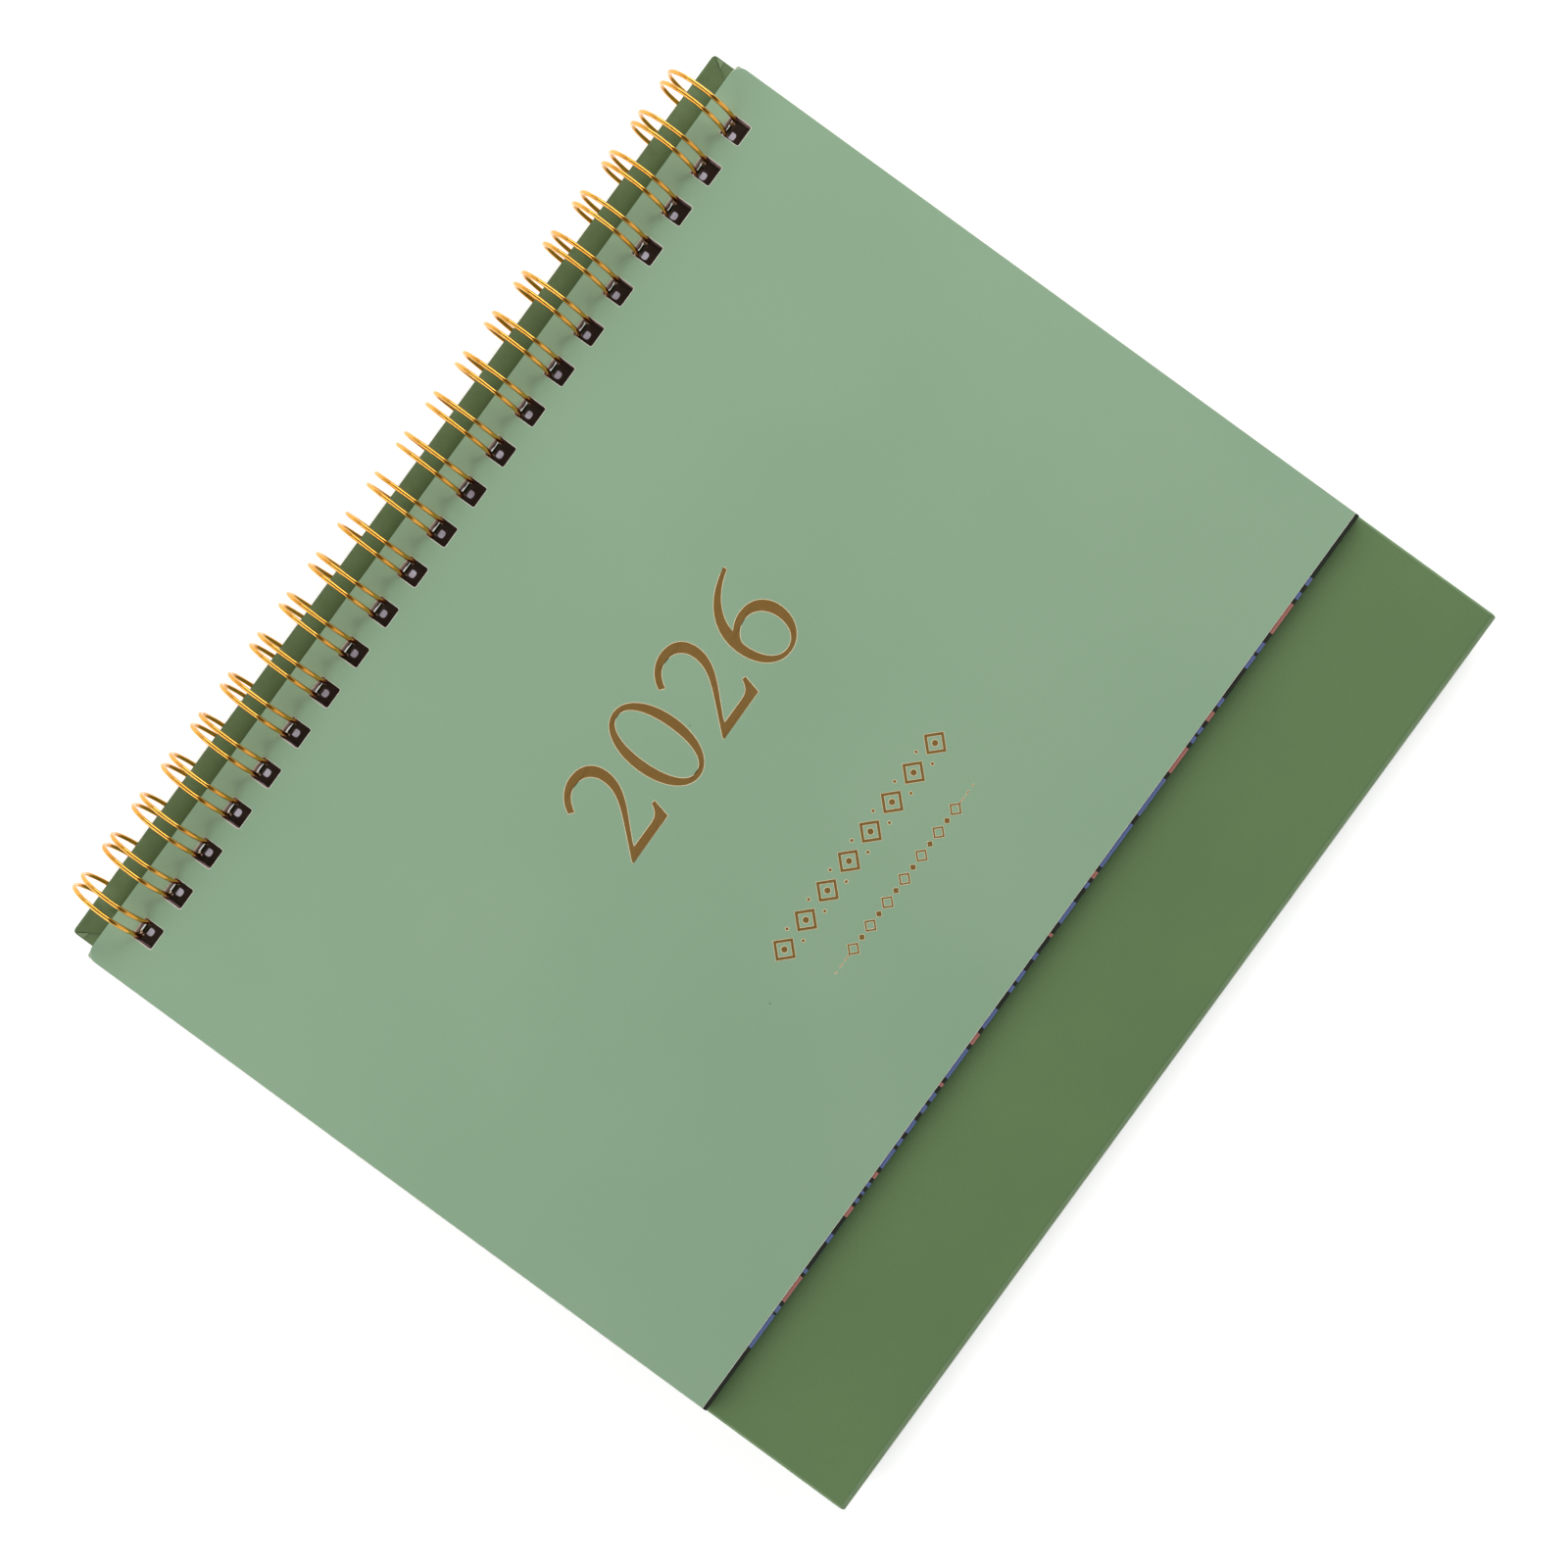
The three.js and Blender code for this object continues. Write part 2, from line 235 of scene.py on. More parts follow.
@dataclass(frozen=True)
class Laminate:
    """Printed card under a satin laminate, as on the cover."""

    light: Colour = (152, 183, 151)
    dark: Colour = (148, 180, 148)
    speck: Colour = (104, 130, 106)
    roughness: float = 0.46
    drift_scale: float = 18.0
    grain_scale: float = 2600.0
    grain_share: float = 0.05
    grain_mm: float = 0.004
    rub_scale: float = 60.0
    wave_scale: float = 25.0
    wave_mm: float = 0.05
    specks: tuple[float, float, float] = (95.0, 0.028, 0.8)

    def build(self) -> Material:
        """Makes the material.

        Returns:
            The laminate.
        """
        sheet = MaterialSheet("cover_laminate")
        drift = sheet.ramp(sheet.noise(self.drift_scale, 2), low=0.35, high=0.65)
        grain = sheet.noise(self.grain_scale, 4)
        colour = sheet.blend(drift, self.dark, self.light)
        colour = sheet.blend(sheet.ramp(grain, end=self.grain_share), colour, self.speck)
        rub = sheet.noise(self.rub_scale, 5)
        wave = sheet.bump(sheet.noise(self.wave_scale, 1), self.wave_mm, 0.3)
        return sheet.shade({
            "Base Color": sheet.blend(sheet.specks(*self.specks), colour, self.speck),
            "Roughness": sheet.ramp(rub, self.roughness - 0.03, self.roughness + 0.05),
            "Normal": sheet.bump(grain, self.grain_mm, 0.6, wave),
        })


@dataclass(frozen=True)
class FibrePaper:
    """Uncoated paper or card, with its fibres and, on a fold, its wear with a painted sheen."""

    name: str
    base: Colour
    shade: Colour
    fold: Colour | None = None
    fibre_mm: float = 0.35
    relief_mm: float = 0.02
    roughness: float = 0.72
    glow: float = 0.0
    cloud_scale: float = 40.0
    rub_scale: float = 500.0
    specks: tuple[float, float, float] = (220.0, 0.05, 0.9)
    speck_dark: float = 0.55

    def build(self) -> Material:
        """Makes the material.

        Returns:
            The paper.
        """
        sheet = MaterialSheet(self.name)
        fibre = sheet.noise(1000 / self.fibre_mm, 5)
        cloud = sheet.noise(self.cloud_scale, 3)
        colour = sheet.blend(sheet.ramp(cloud, end=0.7), self.base, self.shade)
        colour = sheet.blend(sheet.ramp(fibre, end=0.35, low=0.35), colour, self.shade)
        dark = tuple(round(part * self.speck_dark) for part in self.base)
        colour = sheet.blend(sheet.specks(*self.specks), colour, dark)
        # The fold colour is partly wear and partly a painted sheen, lighter where light would catch the rounded
        # edges.
        if self.fold:
            wear_and_sheen = sheet.add("ShaderNodeAttribute", attribute_name="fold").outputs["Fac"]
            rub = sheet.ramp(sheet.noise(self.rub_scale, 3), 0.6, 1.0, low=0.2, high=0.6)
            wear_and_sheen_mix = sheet.math("MULTIPLY", sheet.ramp(wear_and_sheen, low=0.0, high=0.8), rub)
            colour = sheet.blend(wear_and_sheen_mix, colour, self.fold)
        # A glow is painted light: the paper shines though no lamp lights it.
        if self.glow:
            sheet.shade({"Emission Color": colour, "Emission Strength": self.glow})
        return sheet.shade({
            "Base Color": colour,
            "Roughness": sheet.ramp(fibre, self.roughness - 0.08, self.roughness + 0.06),
            "Normal": sheet.bump(fibre, self.relief_mm, 0.7),
        })


@dataclass(frozen=True)
class Metal:
    """Bright metal, with fine drawing marks or foil grain."""

    name: str
    base: Colour
    tint: Colour
    roughness: float
    relief_mm: float
    strength: float = 0.5
    grain_mm: float = 0.12
    stain_scale: float = 160.0

    def build(self) -> Material:
        """Makes the material.

        Returns:
            The metal.
        """
        sheet = MaterialSheet(self.name)
        grain = sheet.noise(1000 / self.grain_mm, 4)
        stain = sheet.ramp(sheet.noise(self.stain_scale, 3), low=0.35)
        return sheet.shade({
            "Base Color": sheet.blend(stain, self.base, self.tint),
            "Metallic": 1.0,
            "Roughness": sheet.ramp(grain, self.roughness * 0.85, self.roughness * 1.2),
            "Normal": sheet.bump(grain, self.relief_mm, self.strength),
        })


@dataclass(frozen=True)
class MonthPrint:
    """Paper of a month sheet, with ruled boxes for the days and a row of coloured bars at its foot."""

    month: int
    foot: float
    columns: int = 7
    rows: int = 6
    grid_left: float = -84.0
    grid_width: float = 168.0
    grid_foot: float = 9.0
    grid_height: float = 96.0
    rule: float = 0.25
    paper: Colour = (236, 233, 226)
    fleck: Colour = (190, 184, 176)
    blue: Colour = (94, 110, 156)
    ink: Colour = (34, 40, 28)
    rose: Colour = (172, 114, 102)
    line: Colour = (150, 154, 176)
    cut_light: Colour = (178, 140, 146)
    cut_dark: Colour = (120, 88, 92)
    cut_scale: float = 420.0
    cut_ink: float = 1.0
    fibre_scale: float = 2600.0
    relief_mm: float = 0.008
    specular: float = 0.35
    bars: tuple[tuple[float, Colour], ...] = (
        (0.0, rose), (0.33, ink), (0.46, blue), (0.6, ink), (0.72, blue)
    )
    bar_height: float = 3.2
    bar_scale: float = 135.0
    bar_walk: float = 0.317
    fade: Ramp = (0.0, 0.13, 20.0, 75.0)
    plain_from: float = 81.0
    plain_chance: float = 0.4

    def ruled(
        self, sheet: NodeSheet, place: NodeSocket, start: float, length: float, count: int
    ) -> tuple[NodeSocket, NodeSocket]:
        """Draws evenly spaced rules across one direction.

        Args:
            sheet: Nodes of the material.
            place: Socket with the place along the direction, in millimetres.
            start: Place of the first rule.
            length: From the first rule to the last.
            count: Number of spaces.

        Returns:
            The socket with 1 on a rule, and the socket with 1 from the first rule to the last.
        """
        space = length / count
        spaces = sheet.math("DIVIDE", sheet.math("SUBTRACT", place, start), space)
        nearest = sheet.math("ABSOLUTE", sheet.math("SUBTRACT", spaces, sheet.math("ROUND", spaces)))
        above = sheet.math("GREATER_THAN", place, start - self.rule / 2)
        below = sheet.math("LESS_THAN", place, start + length + self.rule / 2)
        return sheet.math("LESS_THAN", nearest, self.rule / 2 / space), sheet.math("MULTIPLY", above, below)

    def foot_bars(self, sheet: NodeSheet, x: NodeSocket, across: NodeSocket) -> NodeSocket:
        """Colours the row of bars by a noise along it, with one plain bar at each end.

        Args:
            sheet: Nodes of the material.
            x: Socket with the place along the sheet's foot, in metres.
            across: The same in millimetres.

        Returns:
            The socket with the bars' colours.
        """
        walk = sheet.math("ADD", x, self.month * self.bar_walk)
        sockets = {"W": walk, "Scale": self.bar_scale, "Detail": 1.0}
        chance = sheet.add("ShaderNodeTexNoise", sockets, noise_dimensions="1D").outputs[0]
        chance = sheet.math("SUBTRACT", chance, sheet.ramp(across, *self.fade))
        at_ends = sheet.math("GREATER_THAN", sheet.math("ABSOLUTE", across), self.plain_from)
        between = sheet.math("MULTIPLY", chance, sheet.math("SUBTRACT", 1.0, at_ends))
        chance = sheet.math("ADD", between, sheet.math("MULTIPLY", at_ends, self.plain_chance))
        node = sheet.add("ShaderNodeValToRGB", {"Fac": chance})
        node.color_ramp.interpolation = "CONSTANT"
        elements = node.color_ramp.elements
        while len(elements) < len(self.bars):
            elements.new(0.5)
        for element, (position, tone) in zip(elements, self.bars):
            element.position = position
            element.color = linear(tone)
        return node.outputs["Color"]

    def build(self) -> Material:
        """Makes the material.

        Returns:
            The month's printed paper.
        """
        sheet = MaterialSheet(f"month_paper_{self.month:02d}")
        x, y, _ = sheet.add("ShaderNodeSeparateXYZ", {"Vector": sheet.place}).outputs
        across = sheet.math("MULTIPLY", x, 1 / MM)
        up = sheet.math("SUBTRACT", sheet.math("MULTIPLY", y, 1 / MM), self.foot)
        fibre = sheet.noise(self.fibre_scale, 4)
        colour = sheet.blend(sheet.ramp(fibre, end=0.08), self.paper, self.fleck)
        upright, in_width = self.ruled(sheet, across, self.grid_left, self.grid_width, self.columns)
        level, in_height = self.ruled(sheet, up, self.grid_foot, self.grid_height, self.rows)
        in_grid = sheet.math("MULTIPLY", in_width, in_height)
        boxes = sheet.math("MULTIPLY", sheet.math("MAXIMUM", upright, level), in_grid)
        colour = sheet.blend(boxes, colour, self.line)
        in_bars = sheet.math("LESS_THAN", up, self.bar_height)
        colour = sheet.blend(in_bars, colour, self.foot_bars(sheet, x, across))
        normal = sheet.add("ShaderNodeNewGeometry").outputs["True Normal"]
        facing = sheet.add("ShaderNodeSeparateXYZ", {"Vector": normal}).outputs["Z"]
        is_cut = sheet.math("LESS_THAN", sheet.math("ABSOLUTE", facing), STEEP_COSINE)
        shade = sheet.ramp(sheet.noise(self.cut_scale, 2), low=0.4, high=0.6)
        cut = sheet.blend(shade, self.cut_light, self.cut_dark)
        at_foot = sheet.blend(sheet.math("LESS_THAN", up, self.cut_ink), cut, self.ink)
        return sheet.shade({
            "Base Color": sheet.blend(is_cut, colour, at_foot),
            "Specular IOR Level": self.specular,
            "Roughness": sheet.ramp(fibre, 0.58, 0.7),
            "Normal": sheet.bump(fibre, self.relief_mm, 0.5),
        })


@dataclass(frozen=True)
class FloorFinish:
    """Pale floor that renders white, keeps the shadow near the calendar and is plain white far from it."""

    base: Colour = (242, 242, 242)
    tint: Colour = (244, 244, 244)
    drift_scale: float = 6.0
    roughness: float = 0.9
    specular: float = 0.1
    lift: float = 0.55
    far_lift: Ramp = (0.0, 1.0, 0.4, 1.0)

    def build(self) -> Material:
        """Makes the material.

        Returns:
            The floor's material.
        """
        sheet = MaterialSheet("studio_floor")
        path = sheet.add("ShaderNodeLightPath").outputs
        seen = sheet.math("ADD", path["Is Camera Ray"], path["Is Glossy Ray"])
        seen = sheet.math("MINIMUM", sheet.math("ADD", seen, path["Is Transmission Ray"]), 1.0)
        away = sheet.add("ShaderNodeVectorMath", {0: sheet.place}, operation="LENGTH").outputs["Value"]
        far = sheet.math("MULTIPLY", sheet.ramp(away, *self.far_lift), path["Is Camera Ray"])
        light = sheet.math("MULTIPLY_ADD", seen, self.lift, far)
        glow = sheet.add("ShaderNodeEmission", {"Color": (1, 1, 1, 1), "Strength": light})
        both = sheet.add("ShaderNodeAddShader", {0: sheet.shader.outputs[0], 1: glow.outputs[0]})
        sheet.feed(sheet.output.inputs["Surface"], both.outputs[0])
        return sheet.shade({
            "Base Color": sheet.blend(sheet.noise(self.drift_scale, 2), self.base, self.tint),
            "Roughness": self.roughness,
            "Specular IOR Level": self.specular,
        })


class Finishes:
    """Every material of the calendar except the floor's and the months', made once."""

    def __init__(self) -> None:
        """Makes the materials."""
        self.laminate = Laminate().build()
        self.card_edge = FibrePaper("card_edge", (240, 238, 228), (224, 220, 208), roughness=0.8).build()
        self.wrap = FibrePaper("green_wrap", (105, 135, 86), (99, 128, 81), (146, 170, 132)).build()
        # A darker copy of the green wrap for the turned-in margins and laps on the inner faces: painted shade.
        self.margin = FibrePaper("turned_in_wrap_painted_shade", (82, 104, 53), (74, 96, 49), (138, 162, 120)).build()
        self.dark_paper = FibrePaper(
            "dark_lap_paper", (176, 160, 148), (150, 132, 122), roughness=0.85
        ).build()
        # Pale paper that glows, painted light at the bottoms of the holes.
        self.glowing_pale_paper = FibrePaper(
            "pale_strip_paper_painted_light", (240, 234, 246), (92, 76, 84), fibre_mm=1.6, glow=0.55
        ).build()
        self.board = FibrePaper(
            "grey_board", (118, 108, 98), (84, 74, 66), fibre_mm=0.6, relief_mm=0.05, roughness=0.9
        ).build()
        self.lining = FibrePaper("lining_paper", (226, 223, 230), (214, 210, 220), fibre_mm=0.5).build()
        self.wire = Metal("gold_wire", (234, 174, 80), (222, 156, 62), 0.1, 0.0003, 0.1).build()
        self.foil = Metal("gold_foil", (252, 198, 116), (246, 190, 106), 0.34, 0.003).build()
        # Pale matte rim and walls of the foil: a painted highlight along its edges.
        self.foil_edge_highlight = FibrePaper(
            "gold_foil_painted_highlight", (250, 234, 196), (244, 222, 176), fibre_mm=0.2, relief_mm=0.002, roughness=0.5
        ).build()
        self.number_ink = FibrePaper("number_ink", (64, 70, 104), (56, 62, 92), roughness=0.6).build()


def add_object(
    name: str, data: bpy.types.ID, place: Iterable[float] = (0, 0, 0), turn: Quaternion | None = None
) -> bpy.types.Object:
    """Adds an object to the scene.

    Args:
        name: Name of the object.
        data: Its mesh, curve, lamp or camera.
        place: Where it goes, in metres.
        turn: How it is turned, if it is.

    Returns:
        The new object.
    """
    made = bpy.data.objects.new(name, data)
    made.location = place
    if turn:
        made.rotation_mode = "QUATERNION"
        made.rotation_quaternion = turn
    bpy.context.scene.collection.objects.link(made)
    return made


def add_mesh(name: str, bm: BMesh, materials: Iterable[Material]) -> bpy.types.Object:
    """Adds an object with a mesh to the scene.

    Args:
        name: Name of the object and of its mesh.
        bm: The mesh, which is freed.
        materials: Materials in the order of the faces' indices.

    Returns:
        The new object.
    """
    mesh = bpy.data.meshes.new(name)
    bm.to_mesh(mesh)
    bm.free()
    for material in materials:
        mesh.materials.append(material)
    return add_object(name, mesh)


def finish_piece(
    name: str, bm: BMesh, place: Matrix, materials: Iterable[Material], body: str,
    replaces: Iterable[str] = (),
) -> bpy.types.Object:
    """Turns a mesh in millimetres into a finished piece in metres, riding on its body.

    Args:
        name: Name of the piece.
        bm: Its mesh, which is freed.
        place: Where it goes, in millimetres.
        materials: Materials in the order of the faces' indices.
        body: CAD body that it rides on.
        replaces: CAD nodes that it stands for.

    Returns:
        The new object.
    """
    bmesh.ops.transform(bm, matrix=Matrix.Scale(MM, 4) @ place, verts=bm.verts)
    piece = add_mesh(name, bm, materials)
    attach(piece, body)
    if replaces:
        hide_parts(*replaces)
    log.info("%s: %d faces on %s", name, len(piece.data.polygons), body)
    return piece


def dress(node: str, material: Material) -> None:
    """Gives a CAD node its only material."""
    frame["nodes"][node].data.materials.clear()
    frame["nodes"][node].data.materials.append(material)


def mesh_of_curve(curve: bpy.types.Curve) -> bpy.types.Mesh:
    """Turns a curve or text into a mesh.

    Args:
        curve: Curve or text.

    Returns:
        Its mesh, which no object uses.
    """
    holder = add_object(curve.name, curve)
    bpy.context.view_layer.update()
    made = bpy.data.meshes.new_from_object(holder.evaluated_get(bpy.context.evaluated_depsgraph_get()))
    bpy.data.objects.remove(holder)
    return made


def add_to(bm: BMesh, mesh: bpy.types.Mesh, place: Matrix) -> None:
    """Adds a mesh to another at its place.

    Args:
        bm: Mesh that it is added to.
        mesh: Mesh that is added.
        place: Where it goes, in millimetres.
    """
    known = set(bm.verts)
    bm.from_mesh(mesh)
    added = [vertex for vertex in bm.verts if vertex not in known]
    bmesh.ops.transform(bm, matrix=place, verts=added)


def evenly(count: int, pitch: float) -> list[float]:
    """Lists places at a pitch, centred on zero."""
    return [(i - (count - 1) / 2) * pitch for i in range(count)]


def is_near(point: Iterable[float], spot: Iterable[float]) -> bool:
    """Says whether a point lies at a spot."""
    return all(abs(a - b) < TINY for a, b in zip(point, spot))


def is_upright(edge: BMEdge) -> bool:
    """Says whether an edge runs straight up."""
    return is_near(edge.verts[0].co.xy, edge.verts[1].co.xy)


def top_of(edge: BMEdge) -> float:
    """Gives the height of an edge's upper end."""
    return max(vertex.co.z for vertex in edge.verts)


def is_sharp(edge: BMEdge) -> bool:
    """Says whether the faces at an edge meet at a sharp angle."""
    return edge.calc_face_angle(0) > SHARP_ANGLE


def bound_corners(bm: BMesh, width: float) -> list[BMEdge]:
    """Lists the upright edges at the two ends of the bound edge of a plate."""
    upright = [edge for edge in bm.edges if is_upright(edge)]
    return [e for e in upright if is_near(map(abs, e.verts[0].co.xy), (width / 2, 0))]


def round_edges(bm: BMesh, edges: list[BMEdge], radius: float, segments: int) -> None:
    """Rounds edges."""
    bmesh.ops.bevel(
        bm, geom=edges, offset=radius, segments=segments, profile=0.5, affect="EDGES", material=-1,
        clamp_overlap=True,
    )


def bisect(bm: BMesh, faces: Iterable[BMFace], axis: int, place: float) -> None:
    """Cuts faces along a line.

    Args:
        bm: Mesh that they belong to.
        faces: Faces that are cut.
        axis: 0 for a line at a place along X, 1 for one along Y.
        place: Place of the line.
    """
    faces = list(faces)
    edges = dict.fromkeys(edge for face in faces for edge in face.edges)
    corners = dict.fromkeys(vertex for face in faces for vertex in face.verts)
    normal = Vector.Fill(3)
    normal[axis] = 1
    bmesh.ops.bisect_plane(bm, geom=[*faces, *edges, *corners], plane_co=normal * place, plane_no=normal)


def bisect_level(bm: BMesh, facing: int, lines: Iterable[tuple[int, float]]) -> None:
    """Cuts the level faces along lines.

    Args:
        bm: Mesh that is cut.
        facing: 1 for the faces that look up, -1 for the faces that look down.
        lines: Axis and place of each line.
    """
    for axis, place in lines:
        level = [face for face in bm.faces if face.normal.z * facing > LEVEL_COSINE]
        bisect(bm, level, axis, place)


def extrude_up(bm: BMesh, faces: list[BMFace], height: float) -> list[BMVert]:
    """Gives flat faces a thickness.

    Args:
        bm: Mesh that they belong to.
        faces: Flat faces.
        height: Thickness, upwards.

    Returns:
        The new corners.
    """
    made = bmesh.ops.extrude_face_region(bm, geom=faces)["geom"]
    corners = [item for item in made if isinstance(item, BMVert)]
    bmesh.ops.translate(bm, vec=(0, 0, height), verts=corners)
    return corners


@dataclass(frozen=True)
class HoleRow:
    """The row of square holes along a bound edge."""

    margin: float
    width: float
    height: float
    radius: float
    pitch: float = PITCH

    def holds(self, point: Vector, more: float = 0.0) -> bool:
        """Says whether a point lies in a hole, or within a little more of it."""
        across = min(abs(point.x - middle) for middle in evenly(LOOPS, self.pitch))
        return across < self.width / 2 + more and abs(point.y + self.margin) < self.height / 2 + more

    def cut(self, bm: BMesh) -> None:
        """Cuts the holes into a flat face whose bound edge is Y = 0.

        Args:
            bm: Mesh of the flat face.
        """
        low, high = -self.margin - self.height / 2, -self.margin + self.height / 2
        for y in (low, high):
            bisect(bm, bm.faces, 1, y)
        for middle in evenly(LOOPS, self.pitch):
            for x in (middle - self.width / 2, middle + self.width / 2):
                band = [face for face in bm.faces if low < face.calc_center_median().y < high]
                bisect(bm, band, 0, x)
        inside = [face for face in bm.faces if self.holds(face.calc_center_median())]
        bmesh.ops.delete(bm, geom=inside, context="FACES")


def plate(width: float, depth: float, thickness: float, holes: HoleRow | None) -> BMesh:
    """Makes a flat plate with its bound edge at Y = 0 and its lower face at Z = 0.

    Args:
        width: Size along X.
        depth: Size from Y = 0 towards -Y.
        thickness: Size along Z.
        holes: Row of holes, if it has one.

    Returns:
        The mesh, closed and facing out.
    """
    bm = bmesh.new()
    bmesh.ops.create_grid(bm, x_segments=1, y_segments=1, size=0.5)
    bmesh.ops.scale(bm, vec=(width, depth, 1), verts=bm.verts)
    bmesh.ops.translate(bm, vec=(0, -depth / 2, 0), verts=bm.verts)
    if holes:
        holes.cut(bm)
    extrude_up(bm, bm.faces[:], thickness)
    bmesh.ops.recalc_face_normals(bm, faces=bm.faces)
    if holes:
        corners = [e for e in bm.edges if is_upright(e) and holes.holds(e.verts[0].co, PLAY)]
        round_edges(bm, corners, holes.radius, 3)
    return bm


@dataclass
class WireComb:
    """Twin-loop wire comb: one wire with twenty-one hairpins that run round the ring."""

    axis: Vector
    finishes: Finishes
    wire: float = 0.82
    ring: float = 14.8
    root_spread: float = 2.8
    tip_spread: float = 2.0
    root_depth: float = 3.35
    tip_gap: float = 0.45
    bend: float = 0.9
    skew: float = 0.5
    leg_steps: int = 40
    bend_steps: int = 5
    tip_steps: int = 10

    @property
    def radius(self) -> float:
        """Radius of the wire's middle round the ring."""
        return self.ring / 2 - self.wire / 2

    def on_ring(self, x: float, angle: float) -> Vector:
        """Gives the point at a place along the binding and an angle round the ring."""
        return self.axis + Vector((x, -self.radius * math.cos(angle), self.radius * math.sin(angle)))

    def hairpin(self, middle: float, joins_before: bool, joins_after: bool) -> list[Vector]:
        """Lists the points of one loop, from the back of the comb round to its tip and back.

        Args:
            middle: Middle of the loop along the binding.
            joins_before: Whether the wire comes from a loop before it.
            joins_after: Whether the wire goes on to a loop after it.

        Returns:
            The points in the order of the wire.
        """
        root = -math.asin(self.root_depth / self.radius)
        bend_angle = self.bend / self.radius
        start = root + bend_angle
        tip_reach = self.tip_spread / 2 / self.radius
        end = root - (self.wire + self.tip_gap) / self.radius + 2 * math.pi - tip_reach
        leg = []
        for i in range(self.leg_steps + 1):
            share = i / self.leg_steps
            out = (self.root_spread + (self.tip_spread - self.root_spread) * share) / 2
            leg.append((out, self.skew * share, start + (end - start) * share))
        elbow = []
        for i in range(self.bend_steps):
            turn = math.pi / 2 * (1 - i / self.bend_steps)
            out = self.root_spread / 2 + self.bend * (1 - math.cos(turn))
            elbow.append((out, 0.0, root + bend_angle * (1 - math.sin(turn))))
        plain = [(self.root_spread / 2, 0.0, root)]
        before = elbow if joins_before else plain
        after = elbow if joins_after else plain
        points = [self.on_ring(middle + shift - out, angle) for out, shift, angle in before + leg]
        for i in range(1, self.tip_steps):
            turn = math.pi * i / self.tip_steps
            across = self.tip_spread / 2 * math.cos(turn)
            reach = self.tip_spread / 2 * math.sin(turn)
            points.append(self.on_ring(middle + self.skew - across, end + reach / self.radius))
        points += [self.on_ring(middle + shift + out, angle) for out, shift, angle in leg[::-1] + after[::-1]]
        return points

    def build(self) -> None:
        """Makes the wire."""
        points = []
        for i, middle in enumerate(evenly(LOOPS, PITCH)):
            points += self.hairpin(middle, i > 0, i + 1 < LOOPS)
        curve = bpy.data.curves.new("wire_comb_line", "CURVE")
        curve.dimensions = "3D"
        curve.bevel_depth = self.wire / 2
        curve.bevel_resolution = 4
        curve.use_fill_caps = True
        line = curve.splines.new("POLY")
        line.points.add(len(points) - 1)
        for knot, point in zip(line.points, points):
            knot.co = (*point, 1)
        bm = bmesh.new()
        bm.from_mesh(mesh_of_curve(curve))
        bmesh.ops.remove_doubles(bm, verts=bm.verts, dist=TINY)
        bmesh.ops.recalc_face_normals(bm, faces=bm.faces)
        for face in bm.faces:
            face.smooth = len(face.verts) == 4
        metal = [self.finishes.wire]
        finish_piece("wire_comb", bm, Matrix(), metal, "back_panel", ["binding_wire"])


@dataclass
class CoverCard:
    """Laminated cover with its punched holes, rounded bound corners and pale cut edges."""

    finishes: Finishes
    node: str = "cover_sheet"
    body: str = "cover"
    holes: HoleRow = HoleRow(6.4, 4.0, 4.0, 0.35)
    corner: float = 2.0
    chamfer: float = 0.1
    rolled_cosine: float = 0.3

    def build(self) -> None:
        """Makes the card. At the bound edge the laminate rolls over the chamfer."""
        low, high = (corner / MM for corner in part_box(self.node))
        size = high - low
        bm = plate(size.x, size.y, size.z, self.holes)
        round_edges(bm, bound_corners(bm, size.x), self.corner, 8)
        rims = [e for e in bm.edges if is_sharp(e) and min(v.co.z for v in e.verts) > size.z - TINY]
        round_edges(bm, rims, self.chamfer, 2)
        for face in bm.faces:
            at_bound_edge = face.calc_center_median().y > -self.chamfer
            limit = self.rolled_cosine if at_bound_edge else LEVEL_COSINE
            face.material_index = 0 if abs(face.normal.z) > limit else 1
            face.smooth = False
        place = Matrix.Translation(((low.x + high.x) / 2, high.y, low.z))
        materials = [self.finishes.laminate, self.finishes.card_edge]
        finish_piece("cover_card", bm, place, materials, self.body, [self.node])


